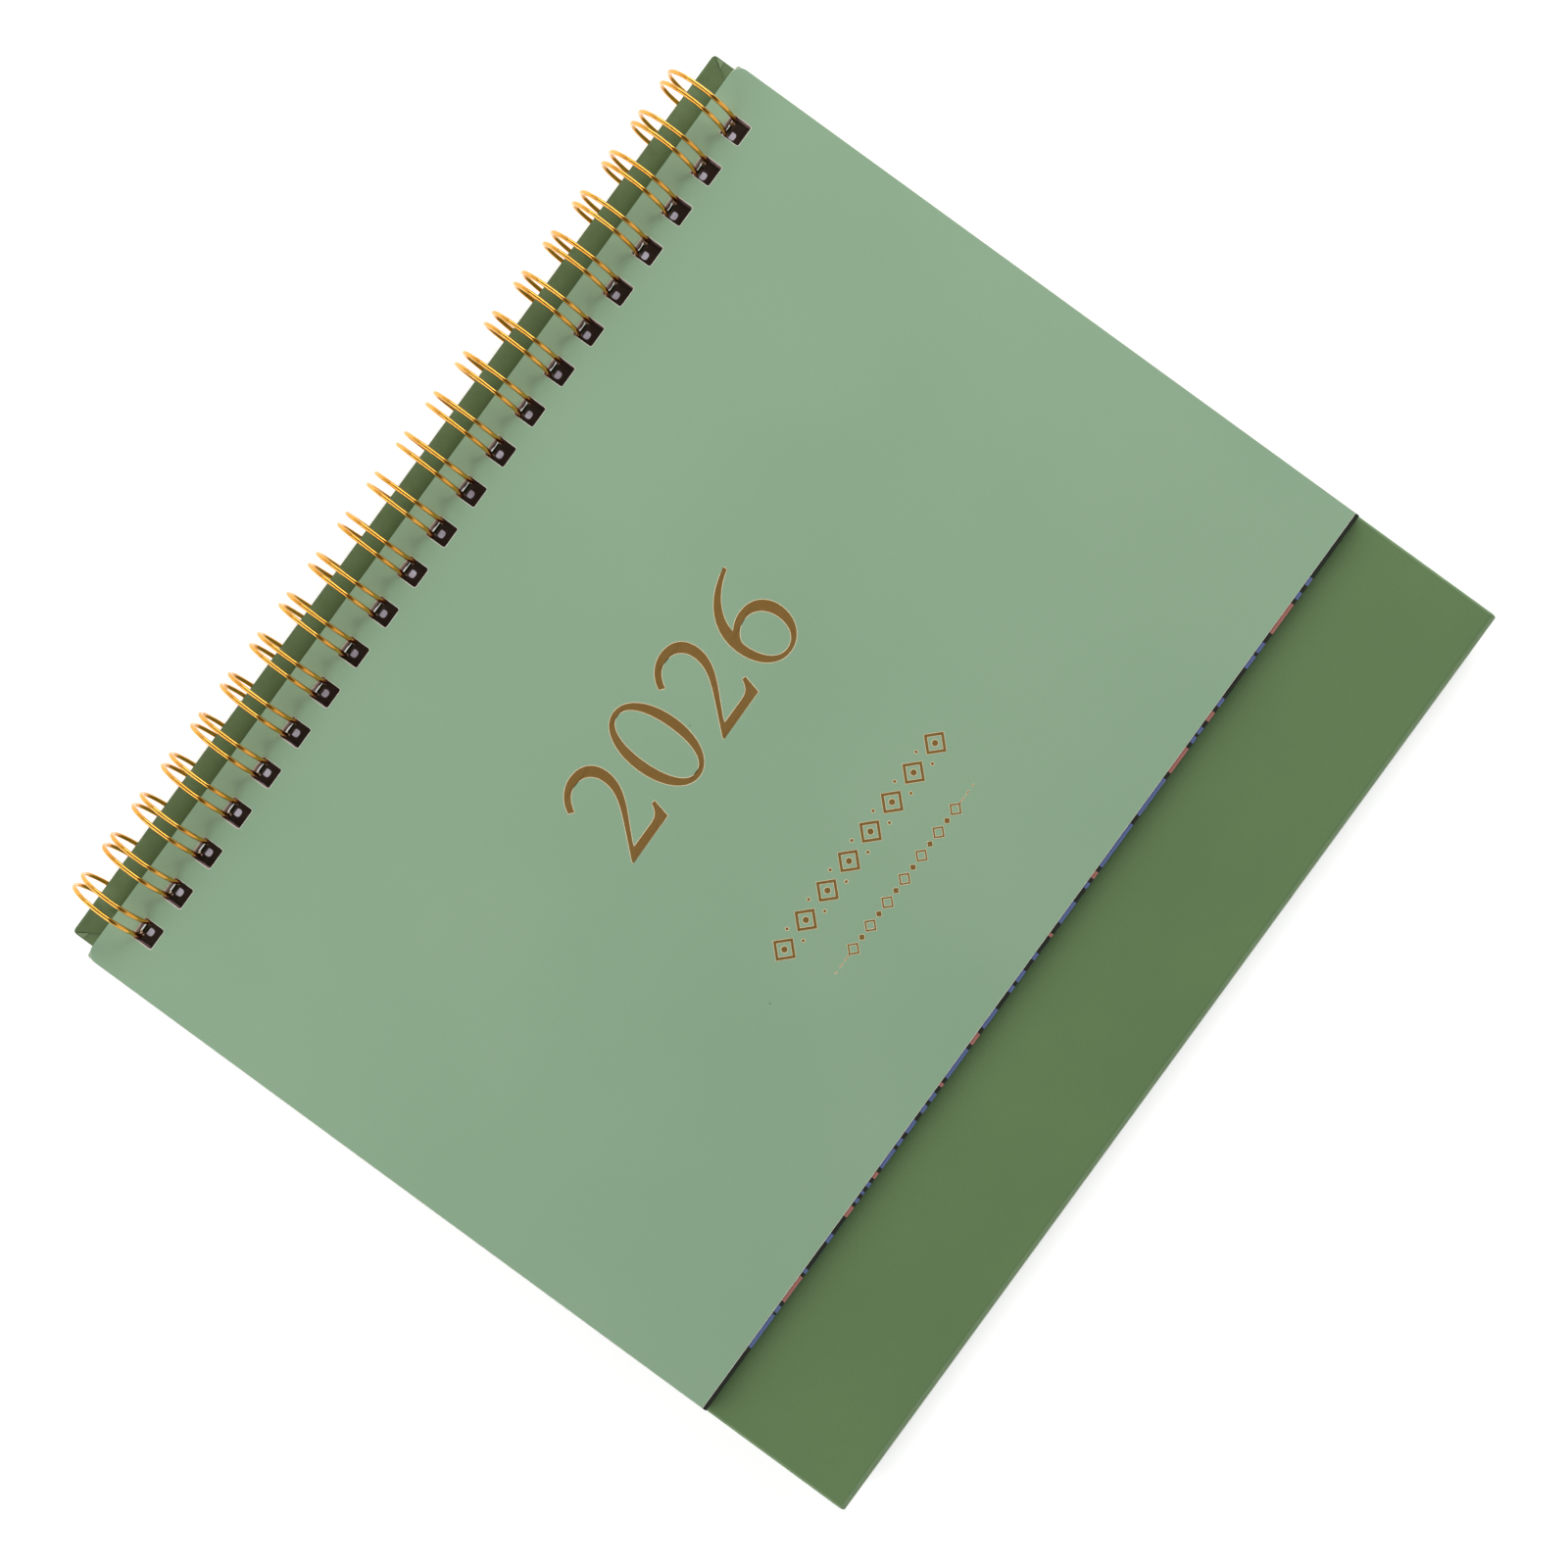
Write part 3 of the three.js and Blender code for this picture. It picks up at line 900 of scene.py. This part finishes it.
@dataclass
class WrappedPanel:
    """Board panel wrapped in covering paper: a thin shell with turned-in margins, a rounded crease and
    an open window on its inner face, where the lining paper lies."""

    name: str
    place: Matrix
    width: float
    depth: float
    finishes: Finishes
    punched: bool = False
    thickness: float = 1.4
    paper: float = 0.15
    turn_in: float = 9.9
    outer_round: float = 0.7
    inner_round: float = 0.3
    crease_foot: float = 0.02
    side_reach: float = 1.0
    free_reach: float = 1.5
    wear_and_sheen_width: float = 0.6
    inner_wear_and_sheen: float = 0.3
    # The first number of each is its share of the fold colour: wear with a painted sheen on the lap, and a painted
    # highlight on the small folded tip.
    tucks: tuple[tuple[float, Outline], ...] = (
        (0.2, ((-0.3, -0.35, 0.2), (-6.2, -9.6, 0.2), (-6.6, -9.6, 0.01), (-6.6, -0.35, 0.01))),
        (0.7, ((-0.25, -0.6, 0.16), (-1.5, -2.45, 0.16), (-0.2, -2.15, 0.12))),
    )
    holes: HoleRow = HoleRow(7.0, 4.0, 5.0, 0.3)

    def in_hole_band(self, point: Vector) -> bool:
        """Says whether a point belongs to the walls of the holes."""
        inside = abs(point.x) < self.width / 2 - self.side_reach
        return self.punched and inside and self.holes.holds(point, PLAY)

    def is_outside(self, edge: BMEdge, free_reach: float = -1.0) -> bool:
        """Says whether an edge runs by the sides or the bound edge, or within a reach of the free edge."""
        side, bound, free = self.width / 2 - self.side_reach, -self.side_reach, free_reach - self.depth
        return all(abs(v.co.x) > side or v.co.y > bound or v.co.y < free for v in edge.verts)

    def shape(self) -> BMesh:
        """Makes the outside of the shell, with its holes and window open.

        Returns:
            The mesh, which has no thickness yet.
        """
        bm = plate(self.width, self.depth, self.thickness, self.holes if self.punched else None)
        spot = (-self.depth, self.thickness)
        crease = [e for e in bm.edges if all(is_near(v.co.yz, spot) for v in e.verts)]
        round_edges(bm, crease, self.thickness - self.crease_foot, 6)
        round_edges(bm, bound_corners(bm, self.width), self.outer_round, 3)
        rims = [e for e in bm.edges if is_sharp(e) and top_of(e) > TINY]
        round_edges(bm, [e for e in rims if self.is_outside(e, self.free_reach)], self.outer_round, 4)
        feet = [e for e in bm.edges if is_sharp(e) and top_of(e) < TINY]
        round_edges(bm, [e for e in feet if self.is_outside(e)], self.inner_round, 3)
        bmesh.ops.remove_doubles(bm, verts=bm.verts, dist=TINY)
        wear_and_sheen = self.width / 2 - self.wear_and_sheen_width
        bisect_level(bm, 1, ((0, -wear_and_sheen), (0, wear_and_sheen), (1, -self.wear_and_sheen_width)))
        self.open_window(bm)
        return bm

    def open_window(self, bm: BMesh) -> None:
        """Opens the inner face inside the turned-in margins, and the walls of the holes.

        Args:
            bm: Mesh of the closed shell.
        """
        inner = self.width / 2 - self.turn_in
        end = self.thickness - self.depth
        bisect_level(bm, -1, ((0, -inner), (0, inner), (1, -self.turn_in), (1, end)))
        gone = []
        for face in bm.faces:
            middle = face.calc_center_median()
            inside = abs(middle.x) < inner and end < middle.y < -self.turn_in
            window = inside and face.normal.z < -LEVEL_COSINE
            wall = abs(face.normal.z) < STEEP_COSINE and self.in_hole_band(middle)
            if window or wall:
                gone.append(face)
        bmesh.ops.delete(bm, geom=gone, context="FACES")

    def build(self) -> None:
        """Makes the covering paper and its tucked corners."""
        bm = self.shape()
        # Share of the fold colour: wear with a painted sheen by the outer edges. On the inner face it is capped
        # lower and runs out across the turned-in margin as painted shade, darker away from the edge.
        wear_and_sheen = bm.verts.layers.float.new("fold")
        for vertex in bm.verts:
            x, y, _ = vertex.co
            nearest = min(self.width / 2 - abs(x), -y, y + self.depth)
            most = self.inner_wear_and_sheen if vertex.co.z < TINY else 1.0
            vertex[wear_and_sheen] = min(max(1 - nearest / self.wear_and_sheen_width, 0.0), most)
        for face in bm.faces:
            # Inner faces take the darker copy of the wrap, painted shade.
            face.material_index = 1 if face.normal.z < -LEVEL_COSINE else 0
        papers = [self.finishes.wrap, self.finishes.margin]
        node = f"{self.name}_wrap"
        paper = finish_piece(f"{self.name}_paper", bm, self.place, papers, self.name, [node])
        shell = paper.modifiers.new("paper", "SOLIDIFY")
        shell.thickness = self.paper * MM
        shell.offset = -1
        shell.use_even_offset = False
        shell.thickness_clamp = 1.0
        paper.data.shade_smooth()
        paper.modifiers.new("even_shading", "WEIGHTED_NORMAL").keep_sharp = True
        if self.punched:
            self.tuck_corners()

    def tuck_corners(self) -> None:
        """Lays the mitred lap of the paper on the inner face at both ends of the bound edge, with the small
        folded tip beside it. The lap is thickest along the mitre and runs out towards the middle. Each has its
        share of wear and painted sheen, the tip's mostly a painted highlight, and corners with their thickness."""
        bm = bmesh.new()
        wear_and_sheen = bm.verts.layers.float.new("fold")
        for mirror in (1, -1):
            for wear_and_sheen_share, outline in self.tucks:
                spots = [Vector((mirror * (self.width / 2 + x), y, 0)) for x, y, _ in outline]
                face = bm.faces.new([bm.verts.new(spot) for spot in spots])
                for vertex in extrude_up(bm, [face], 0):
                    away = [(spot - vertex.co).length for spot in spots]
                    vertex.co.z = -outline[away.index(min(away))][2]
                    vertex[wear_and_sheen] = wear_and_sheen_share
        bmesh.ops.recalc_face_normals(bm, faces=bm.faces)
        finish_piece(f"{self.name}_laps", bm, self.place, [self.finishes.margin], self.name)


@dataclass
class HoleLining:
    """Dark lap strip on the back panel's inner face below the row of holes, with a small opening in
    line with each hole, where the pale strip under it shows. The pale strip glows: painted light in the holes."""

    place: Matrix
    finishes: Finishes
    shift: float
    near: float = 16.2
    far: float = 9.95
    length: float = 184.0
    thickness: float = 0.08
    pale_thickness: float = 0.04
    pale_inset: float = 0.5
    opening_line: float = 10.85
    opening_width: float = 1.35
    opening_height: float = 1.2825
    opening_round: float = 0.45
    spread: float = 1.0023
    aside: float = 0.37

    def build(self) -> None:
        """Makes both strips."""
        size = (self.opening_width, self.opening_height, self.opening_round)
        holes = HoleRow(self.opening_line - self.far, *size, PITCH * self.spread)
        dark = (self.finishes.dark_paper, "green_wrap")
        pale = (self.finishes.glowing_pale_paper, "lining_paper")
        for name, inset, thickness, aside, row, (paper, slot) in (
            ("back_panel_lap_strip", 0.0, self.thickness, self.aside, holes, dark),
            ("back_panel_glowing_strip", self.pale_inset, self.pale_thickness, 0.0, None, pale),
        ):
            bm = plate(self.length - 2 * inset, self.near - self.far - 2 * inset, thickness, row)
            bmesh.ops.translate(bm, vec=(self.shift + aside, -self.far - inset, -thickness), verts=bm.verts)
            finish_piece(name, bm, self.place, [paper], "back_panel")


class Numeral(Enum):
    """Numerals of the cover, drawn as plain old-style serif figures.

    Each is a few closed outlines in millimetres from its foot: a start, then two numbers for a straight
    segment's end or six for a curve's two handles and end.
    """

    TWO = (
        (
            (0.3, 13.9), (1.1, 15.9, 3.3, 17.45, 5.6, 17.45), (8.5, 17.45, 10.3, 15.6, 10.25, 12.7),
            (10.2, 10.2, 8.9, 8.2, 6.8, 6.0), (5.5, 4.65, 3.9, 3.1, 2.65, 1.72), (7.4, 1.72),
            (8.9, 1.78, 9.4, 2.2, 10.2, 3.62), (11.05, 3.5), (10.25, 0.0), (0.15, 0.0), (0.15, 0.42),
            (2.0, 2.5, 3.9, 4.5, 5.6, 6.5), (7.4, 8.6, 8.35, 10.3, 8.3, 12.5),
            (8.25, 14.6, 6.7, 15.85, 4.9, 15.8), (3.3, 15.75, 2.2, 14.7, 1.3, 13.1),
        ),
    )
    ZERO = (
        (
            (5.6, 18.05), (8.9, 18.05, 11.15, 13.9, 11.15, 8.75), (11.15, 3.6, 8.9, -0.45, 5.6, -0.45),
            (2.3, -0.45, 0.05, 3.6, 0.05, 8.75), (0.05, 13.9, 2.3, 18.05, 5.6, 18.05),
        ),
        (
            (5.5, 16.95), (3.4, 16.95, 2.05, 13.9, 2.05, 9.0), (2.05, 4.0, 3.5, 0.6, 5.7, 0.6),
            (7.9, 0.6, 9.2, 3.6, 9.2, 8.5), (9.2, 13.6, 7.8, 16.95, 5.5, 16.95),
        ),
    )
    SIX = (
        (
            (10.45, 17.5), (10.5, 16.65), (6.6, 15.6, 3.5, 13.4, 2.55, 9.75),
            (3.6, 10.5, 4.8, 10.75, 6.0, 10.75), (9.0, 10.75, 10.95, 8.4, 10.95, 5.5),
            (10.95, 2.2, 8.7, -0.45, 5.6, -0.45), (2.3, -0.45, 0.0, 2.7, 0.0, 7.1),
            (0.0, 12.4, 3.9, 16.5, 10.45, 17.5),
        ),
        (
            (5.2, 9.2), (3.7, 9.2, 1.8, 8.0, 1.85, 6.6), (1.9, 3.2, 3.2, 0.6, 5.6, 0.55),
            (7.7, 0.5, 8.95, 2.4, 8.95, 4.8), (8.95, 7.4, 7.3, 9.2, 5.2, 9.2),
        ),
    )


@dataclass(frozen=True)
class Motif:
    """A small many-sided figure of the ornament, open if it has a stroke."""

    size: float
    sides: int = 4
    stroke: float = 0.0

    def add(self, bm: BMesh, x: float, y: float) -> None:
        """Adds the figure to a mesh.

        Args:
            bm: Mesh that it is added to.
            x: Its middle along the line.
            y: Its middle across the line.
        """
        turn = Matrix.Translation((x, y, 0)) @ Matrix.Rotation(math.pi / 2, 4, "Z")
        made = bmesh.ops.create_circle(
            bm, cap_ends=True, segments=self.sides, radius=self.size / 2, matrix=turn
        )
        if self.stroke > 0:
            face = next(iter(made["verts"][0].link_faces))
            bmesh.ops.inset_individual(bm, faces=[face], thickness=self.stroke, use_even_offset=True)
            bmesh.ops.delete(bm, geom=[face], context="FACES_ONLY")


@dataclass
class FoilWork:
    """Gold foil on the cover: the figures of the year and two lines of plain ornament."""

    finishes: Finishes
    top: float
    bound: float
    middle: float = -1.3
    lift: float = 0.02
    rim: float = 0.1
    foot: float = 66.1
    figures: tuple[tuple[float, Numeral], ...] = (
        (0.0, Numeral.TWO), (13.25, Numeral.ZERO), (26.1, Numeral.TWO), (39.5, Numeral.SIX)
    )
    block: float = 50.4
    weld: float = 0.01
    chain_line: float = 95.4
    chain_length: float = 48.4
    links: int = 8
    lozenge: Motif = Motif(5.0, stroke=0.62)
    dot: Motif = Motif(1.3, sides=12)
    crumb: Motif = Motif(0.75, sides=12)
    crumb_line: float = 1.7
    seed_line: float = 104.8
    seeds: int = 13
    seed_step: float = 2.45
    open_seed: Motif = Motif(2.8, stroke=0.42)
    small_seed: Motif = Motif(1.4)
    dashes: tuple[float, ...] = (1.3, 1.0, 0.6)
    dash_start: float = 16.6
    dash_step: float = 1.55
    dash_height: float = 0.28

    def outline(self, curve: bpy.types.Curve, outline: Outline) -> None:
        """Adds one closed outline to a flat curve.

        Args:
            curve: Curve that it is added to.
            outline: Start and segments of a numeral's outline.
        """
        start, *segments = outline
        knots = [{"co": start, "left": start, "right": start}]
        for segment in segments:
            end = segment[-2:]
            handles = (knots[-1]["co"], end) if len(segment) == 2 else (segment[0:2], segment[2:4])
            knots[-1]["right"] = handles[0]
            knots.append({"co": end, "left": handles[1], "right": end})
        if is_near(knots[0]["co"], knots[-1]["co"]):
            knots[0]["left"] = knots.pop()["left"]
        spline = curve.splines.new("BEZIER")
        spline.bezier_points.add(len(knots) - 1)
        spline.use_cyclic_u = True
        for point, knot in zip(spline.bezier_points, knots):
            point.handle_left_type = point.handle_right_type = "FREE"
            point.co = (*knot["co"], 0)
            point.handle_left = (*knot["left"], 0)
            point.handle_right = (*knot["right"], 0)

    def finish(self, name: str, bm: BMesh) -> None:
        """Gives flat foil its thickness and its bright rim, a painted highlight that its walls share too, and lays
        it on the cover.

        Args:
            name: Name of the piece.
            bm: Mesh of the flat foil.
        """
        extrude_up(bm, bm.faces[:], self.lift)
        bmesh.ops.recalc_face_normals(bm, faces=bm.faces)
        tops = [face for face in bm.faces if face.normal.z > STEEP_COSINE]
        rim = bmesh.ops.inset_region(
            bm, faces=tops, thickness=self.rim, use_even_offset=False, use_boundary=True
        )["faces"]
        # Rim and walls take the pale edge colour, a painted highlight.
        walls = [face for face in bm.faces if abs(face.normal.z) < STEEP_COSINE]
        for face in [*rim, *walls]:
            face.material_index = 1
        place = Matrix.Translation((self.middle, self.bound, self.top - self.lift / 4))
        materials = [self.finishes.foil, self.finishes.foil_edge_highlight]
        finish_piece(name, bm, place, materials, "cover")

    def build(self) -> None:
        """Makes the figures and the ornament."""
        self.build_figures()
        self.build_chain()
        self.build_seeds()

    def build_figures(self) -> None:
        """Makes the four figures."""
        bm = bmesh.new()
        for left, numeral in self.figures:
            curve = bpy.data.curves.new("figure_line", "CURVE")
            curve.dimensions = "2D"
            curve.fill_mode = "BOTH"
            curve.resolution_u = 10
            for outline in numeral.value:
                self.outline(curve, outline)
            place = Matrix.Translation((left - self.block / 2, -self.foot, 0))
            add_to(bm, mesh_of_curve(curve), place)
        bmesh.ops.remove_doubles(bm, verts=bm.verts, dist=self.weld)
        self.finish("cover_figures", bm)

    def build_chain(self) -> None:
        """Makes the upper line of ornament: open lozenges with a dot in each and between them."""
        bm = bmesh.new()
        step = (self.chain_length - self.lozenge.size) / (self.links - 1)
        for x in evenly(self.links, step):
            self.lozenge.add(bm, x, -self.chain_line)
            self.dot.add(bm, x, -self.chain_line)
        for x in evenly(self.links - 1, step):
            for side in (1, -1):
                self.crumb.add(bm, x, -self.chain_line + side * self.crumb_line)
        self.finish("cover_ornament", bm)

    def build_seeds(self) -> None:
        """Makes the lower line of ornament: small lozenges between broken rules."""
        bm = bmesh.new()
        for i, x in enumerate(evenly(self.seeds, self.seed_step)):
            seed = self.small_seed if i % 2 else self.open_seed
            seed.add(bm, x, -self.seed_line)
        for side in (-1, 1):
            for i, length in enumerate(self.dashes):
                x = side * (self.dash_start + i * self.dash_step)
                place = Matrix.Translation((x, -self.seed_line, 0))
                size = Matrix.Diagonal((length, self.dash_height, 1, 1))
                bmesh.ops.create_grid(bm, x_segments=1, y_segments=1, size=0.5, matrix=place @ size)
        self.finish("cover_seed_line", bm)


@dataclass
class MonthSheets:
    """The twelve month sheets: their paper, and the numbers of their days."""

    finishes: Finishes
    year: int = 2026
    count: int = 12
    font_size: float = 1.4
    number_across: float = 0.22
    number_down: float = 0.42
    number_height: float = 4.0
    title_across: float = 6.0
    title_up: float = 109.5
    title_height: float = 7.0
    ink_height: float = 0.008
    numbers: dict[int, bpy.types.Mesh] = field(default_factory=dict)

    def flat_number(self, number: int) -> bpy.types.Mesh:
        """Gives the flat mesh of a number, one millimetre high, made once.

        Args:
            number: The number.

        Returns:
            Its mesh, with its foot's middle at the origin.
        """
        if number not in self.numbers:
            curve = bpy.data.curves.new(f"number_{number}", "FONT")
            curve.body = str(number)
            curve.align_x = "CENTER"
            curve.size = self.font_size
            curve.resolution_u = 2
            curve.fill_mode = "FRONT"
            self.numbers[number] = mesh_of_curve(curve)
        return self.numbers[number]

    def number_piece(self, month: int, look: MonthPrint, top: float) -> None:
        """Makes the printed numbers of one month.

        Args:
            month: Number of the month.
            look: Print of its sheet, which says where its boxes are.
            top: Height of the sheet's upper face.
        """
        cell = look.grid_width / look.columns
        row_height = look.grid_height / look.rows
        spots = []
        for row, week in enumerate(calendar.monthcalendar(self.year, month)):
            for column, day in enumerate(week):
                if day:
                    x = look.grid_left + (column + self.number_across) * cell
                    y = look.foot + look.grid_foot + look.grid_height - (row + self.number_down) * row_height
                    spots.append((day, x, y, self.number_height))
        left, foot = look.grid_left + self.title_across, look.foot + self.title_up
        spots.append((month, left, foot, self.title_height))
        bm = bmesh.new()
        for number, x, y, height in spots:
            place = Matrix.Translation((x, y, 0)) @ Matrix.Diagonal((height, height, 1, 1))
            add_to(bm, self.flat_number(number), place)
        bmesh.ops.remove_doubles(bm, verts=bm.verts, dist=TINY)
        extrude_up(bm, bm.faces[:], self.ink_height)
        bmesh.ops.recalc_face_normals(bm, faces=bm.faces)
        name, body = f"month_numbers_{month:02d}", f"month_{month:02d}"
        ink = [self.finishes.number_ink]
        finish_piece(name, bm, Matrix.Translation((0, 0, top)), ink, body)

    def build(self) -> None:
        """Dresses every sheet and prints its numbers."""
        for month in range(1, self.count + 1):
            node = f"month_sheet_{month:02d}"
            low, high = (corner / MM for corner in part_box(node))
            look = MonthPrint(month, low.y)
            dress(node, look.build())
            self.number_piece(month, look, high.z)


@dataclass
class Easel:
    """The folding easel: front panel, back panel and the two halves of the base."""

    finishes: Finishes
    front_width: float = 189.0
    back_width: float = 187.2
    height: float = 160.6
    thickness: float = 1.4
    fold_gap: float = 0.05

    def back_outer(self) -> Matrix:
        """Finds the place of the back panel's outer face at its bound edge.

        Returns:
            The place, in millimetres.
        """
        axis = frame["record"]["mounts"][0]["axis"]
        tilt = math.atan2(axis[1], -axis[2])
        fold = next(j for j in frame["joints"] if j["name"] == "base_back_fold")
        turn = Matrix.Rotation(tilt, 4, "X")
        foot = turn @ Vector((0, -self.height, self.thickness + self.fold_gap / 2))
        corner = Vector(fold["pos_m"]) / MM - foot
        low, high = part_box("back_panel_wrap")
        corner.x = (low.x + high.x) / 2 / MM
        return Matrix.Translation(corner) @ turn

    def build(self) -> None:
        """Makes the four panels and dresses their boards and linings."""
        inner_up = Matrix.Rotation(math.pi, 4, "Y")
        front_low, front_high = (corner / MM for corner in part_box("front_panel_wrap"))
        base_low, base_high = (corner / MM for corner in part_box("base_front_wrap"))
        half_low, half_high = (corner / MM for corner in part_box("base_back_wrap"))
        back = self.back_outer()
        front_place = Matrix.Translation((0, front_high.y, front_low.z))
        base_place = Matrix.Translation(((base_low.x + base_high.x) / 2, base_high.y, base_high.z)) @ inner_up
        base_depth = base_high.y - base_low.y
        back_place = back @ Matrix.Translation((0, 0, self.thickness)) @ inner_up
        half_depth = half_high.y - half_low.y
        half_place = back @ Matrix.Translation((0, half_depth - self.height, self.thickness + self.fold_gap))
        for name, place, width, depth, punched in (
            ("front_panel", front_place, self.front_width, self.height, True),
            ("base_front", base_place, self.back_width, base_depth, False),
            ("back_panel", back_place, self.back_width, self.height, True),
            ("base_back", half_place, self.back_width, half_depth, False),
        ):
            WrappedPanel(name, place, width, depth, self.finishes, punched).build()
            dress(f"{name}_board", self.finishes.board)
            dress(f"{name}_liner", self.finishes.lining)
        middle = back_place.inverted() @ Vector((0.0, *back_place.translation.yz))
        HoleLining(back_place, self.finishes, middle.x).build()


@dataclass
class Studio:
    """Pale floor, two soft boxes, the sky and the camera of the photograph. Places are in metres."""

    floor_size: float = 6.0
    camera_place: Vector = Vector((-0.00121, -0.00812, 0.475))
    camera_turn: Quaternion = Quaternion((0.8915528, 0.0051762, 0.0015897, -0.4528844))
    focal_pixels: float = 2798.5
    image_pixels: float = 1600.0
    sensor: float = 36.0
    box_width: float = 0.4
    box_length: float = 1.2
    boxes: tuple[tuple[str, Vector, float], ...] = (
        ("right_box", Vector((0.66, 0.42, 0.44)), 6.9),
        ("left_box", Vector((-0.66, 0.42, 0.44)), 4.9),
    )
    backdrop: float = 1.2
    sky_slopes: tuple[tuple[str, float, bool], ...] = (
        ("Y", 0.1, False), ("Y", -0.15, True), ("X", 0.4, True)
    )
    sky_light: Ramp = (1.1, 0.15, 0.42, 0.56)

    def build(self) -> None:
        """Makes the floor, the sky, the lamps and the camera."""
        self.build_floor()
        self.build_sky()
        for name, place, watts in self.boxes:
            self.soft_box(name, place, watts)
        self.build_camera()
        bpy.context.scene.view_settings.view_transform = "Standard"

    def build_floor(self) -> None:
        """Makes the floor just under the calendar."""
        bm = bmesh.new()
        bmesh.ops.create_grid(bm, x_segments=8, y_segments=8, size=self.floor_size / 2)
        floor = add_mesh("floor", bm, [FloorFinish().build()])

    def build_sky(self) -> None:
        """Makes a world that is white low down and dark overhead, reaches higher in front and looks white."""
        world = bpy.data.worlds.new("studio")
        bpy.context.scene.world = world
        sheet = NodeSheet(world)
        place = sheet.add("ShaderNodeTexCoord").outputs["Generated"]
        parts = sheet.add("ShaderNodeSeparateXYZ", {0: place}).outputs
        height = parts["Z"]
        for axis, slope, both_ways in self.sky_slopes:
            part = sheet.math("ABSOLUTE", parts[axis]) if both_ways else parts[axis]
            height = sheet.math("MULTIPLY_ADD", part, slope, height)
        light = sheet.ramp(height, *self.sky_light)
        seen = sheet.add("ShaderNodeLightPath").outputs["Is Camera Ray"]
        strength = sheet.math("MULTIPLY_ADD", seen, self.backdrop, light)
        sky = sheet.add("ShaderNodeBackground", {"Strength": strength})
        sheet.add("ShaderNodeOutputWorld", {0: sky.outputs[0]})

    def soft_box(self, name: str, place: Vector, watts: float) -> None:
        """Adds a long soft box beside the calendar, along its sides, that looks at its middle.

        Args:
            name: Name of the lamp.
            place: Where it hangs, in metres.
            watts: Its power.
        """
        data = bpy.data.lights.new(name, "AREA")
        data.shape = "RECTANGLE"
        data.size = self.box_length
        data.size_y = self.box_width
        data.energy = watts
        turn = Vector((-place.x, 0, -place.z)).to_track_quat("-Z", "Y")
        add_object(name, data, place, turn)

    def build_camera(self) -> None:
        """Makes the camera where the photograph was taken from."""
        data = bpy.data.cameras.new("camera")
        data.sensor_width = self.sensor
        data.lens = self.focal_pixels / self.image_pixels * self.sensor
        data.clip_start = 0.01
        data.clip_end = 20
        bpy.context.scene.camera = add_object("camera", data, self.camera_place, self.camera_turn)


def main() -> None:
    """Builds the calendar and its studio in order."""
    logging.basicConfig(level=logging.INFO, format="%(name)s: %(message)s")
    Studio().build()
    finishes = Finishes()
    ring = next(j for j in frame["joints"] if j["name"] == "easel_open")
    WireComb(Vector(ring["pos_m"]) / MM, finishes).build()
    Easel(finishes).build()
    CoverCard(finishes).build()
    cover_low, cover_high = (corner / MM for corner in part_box("cover_sheet"))
    FoilWork(finishes, cover_high.z, cover_high.y).build()
    MonthSheets(finishes).build()


if __name__ == "__main__":
    main()
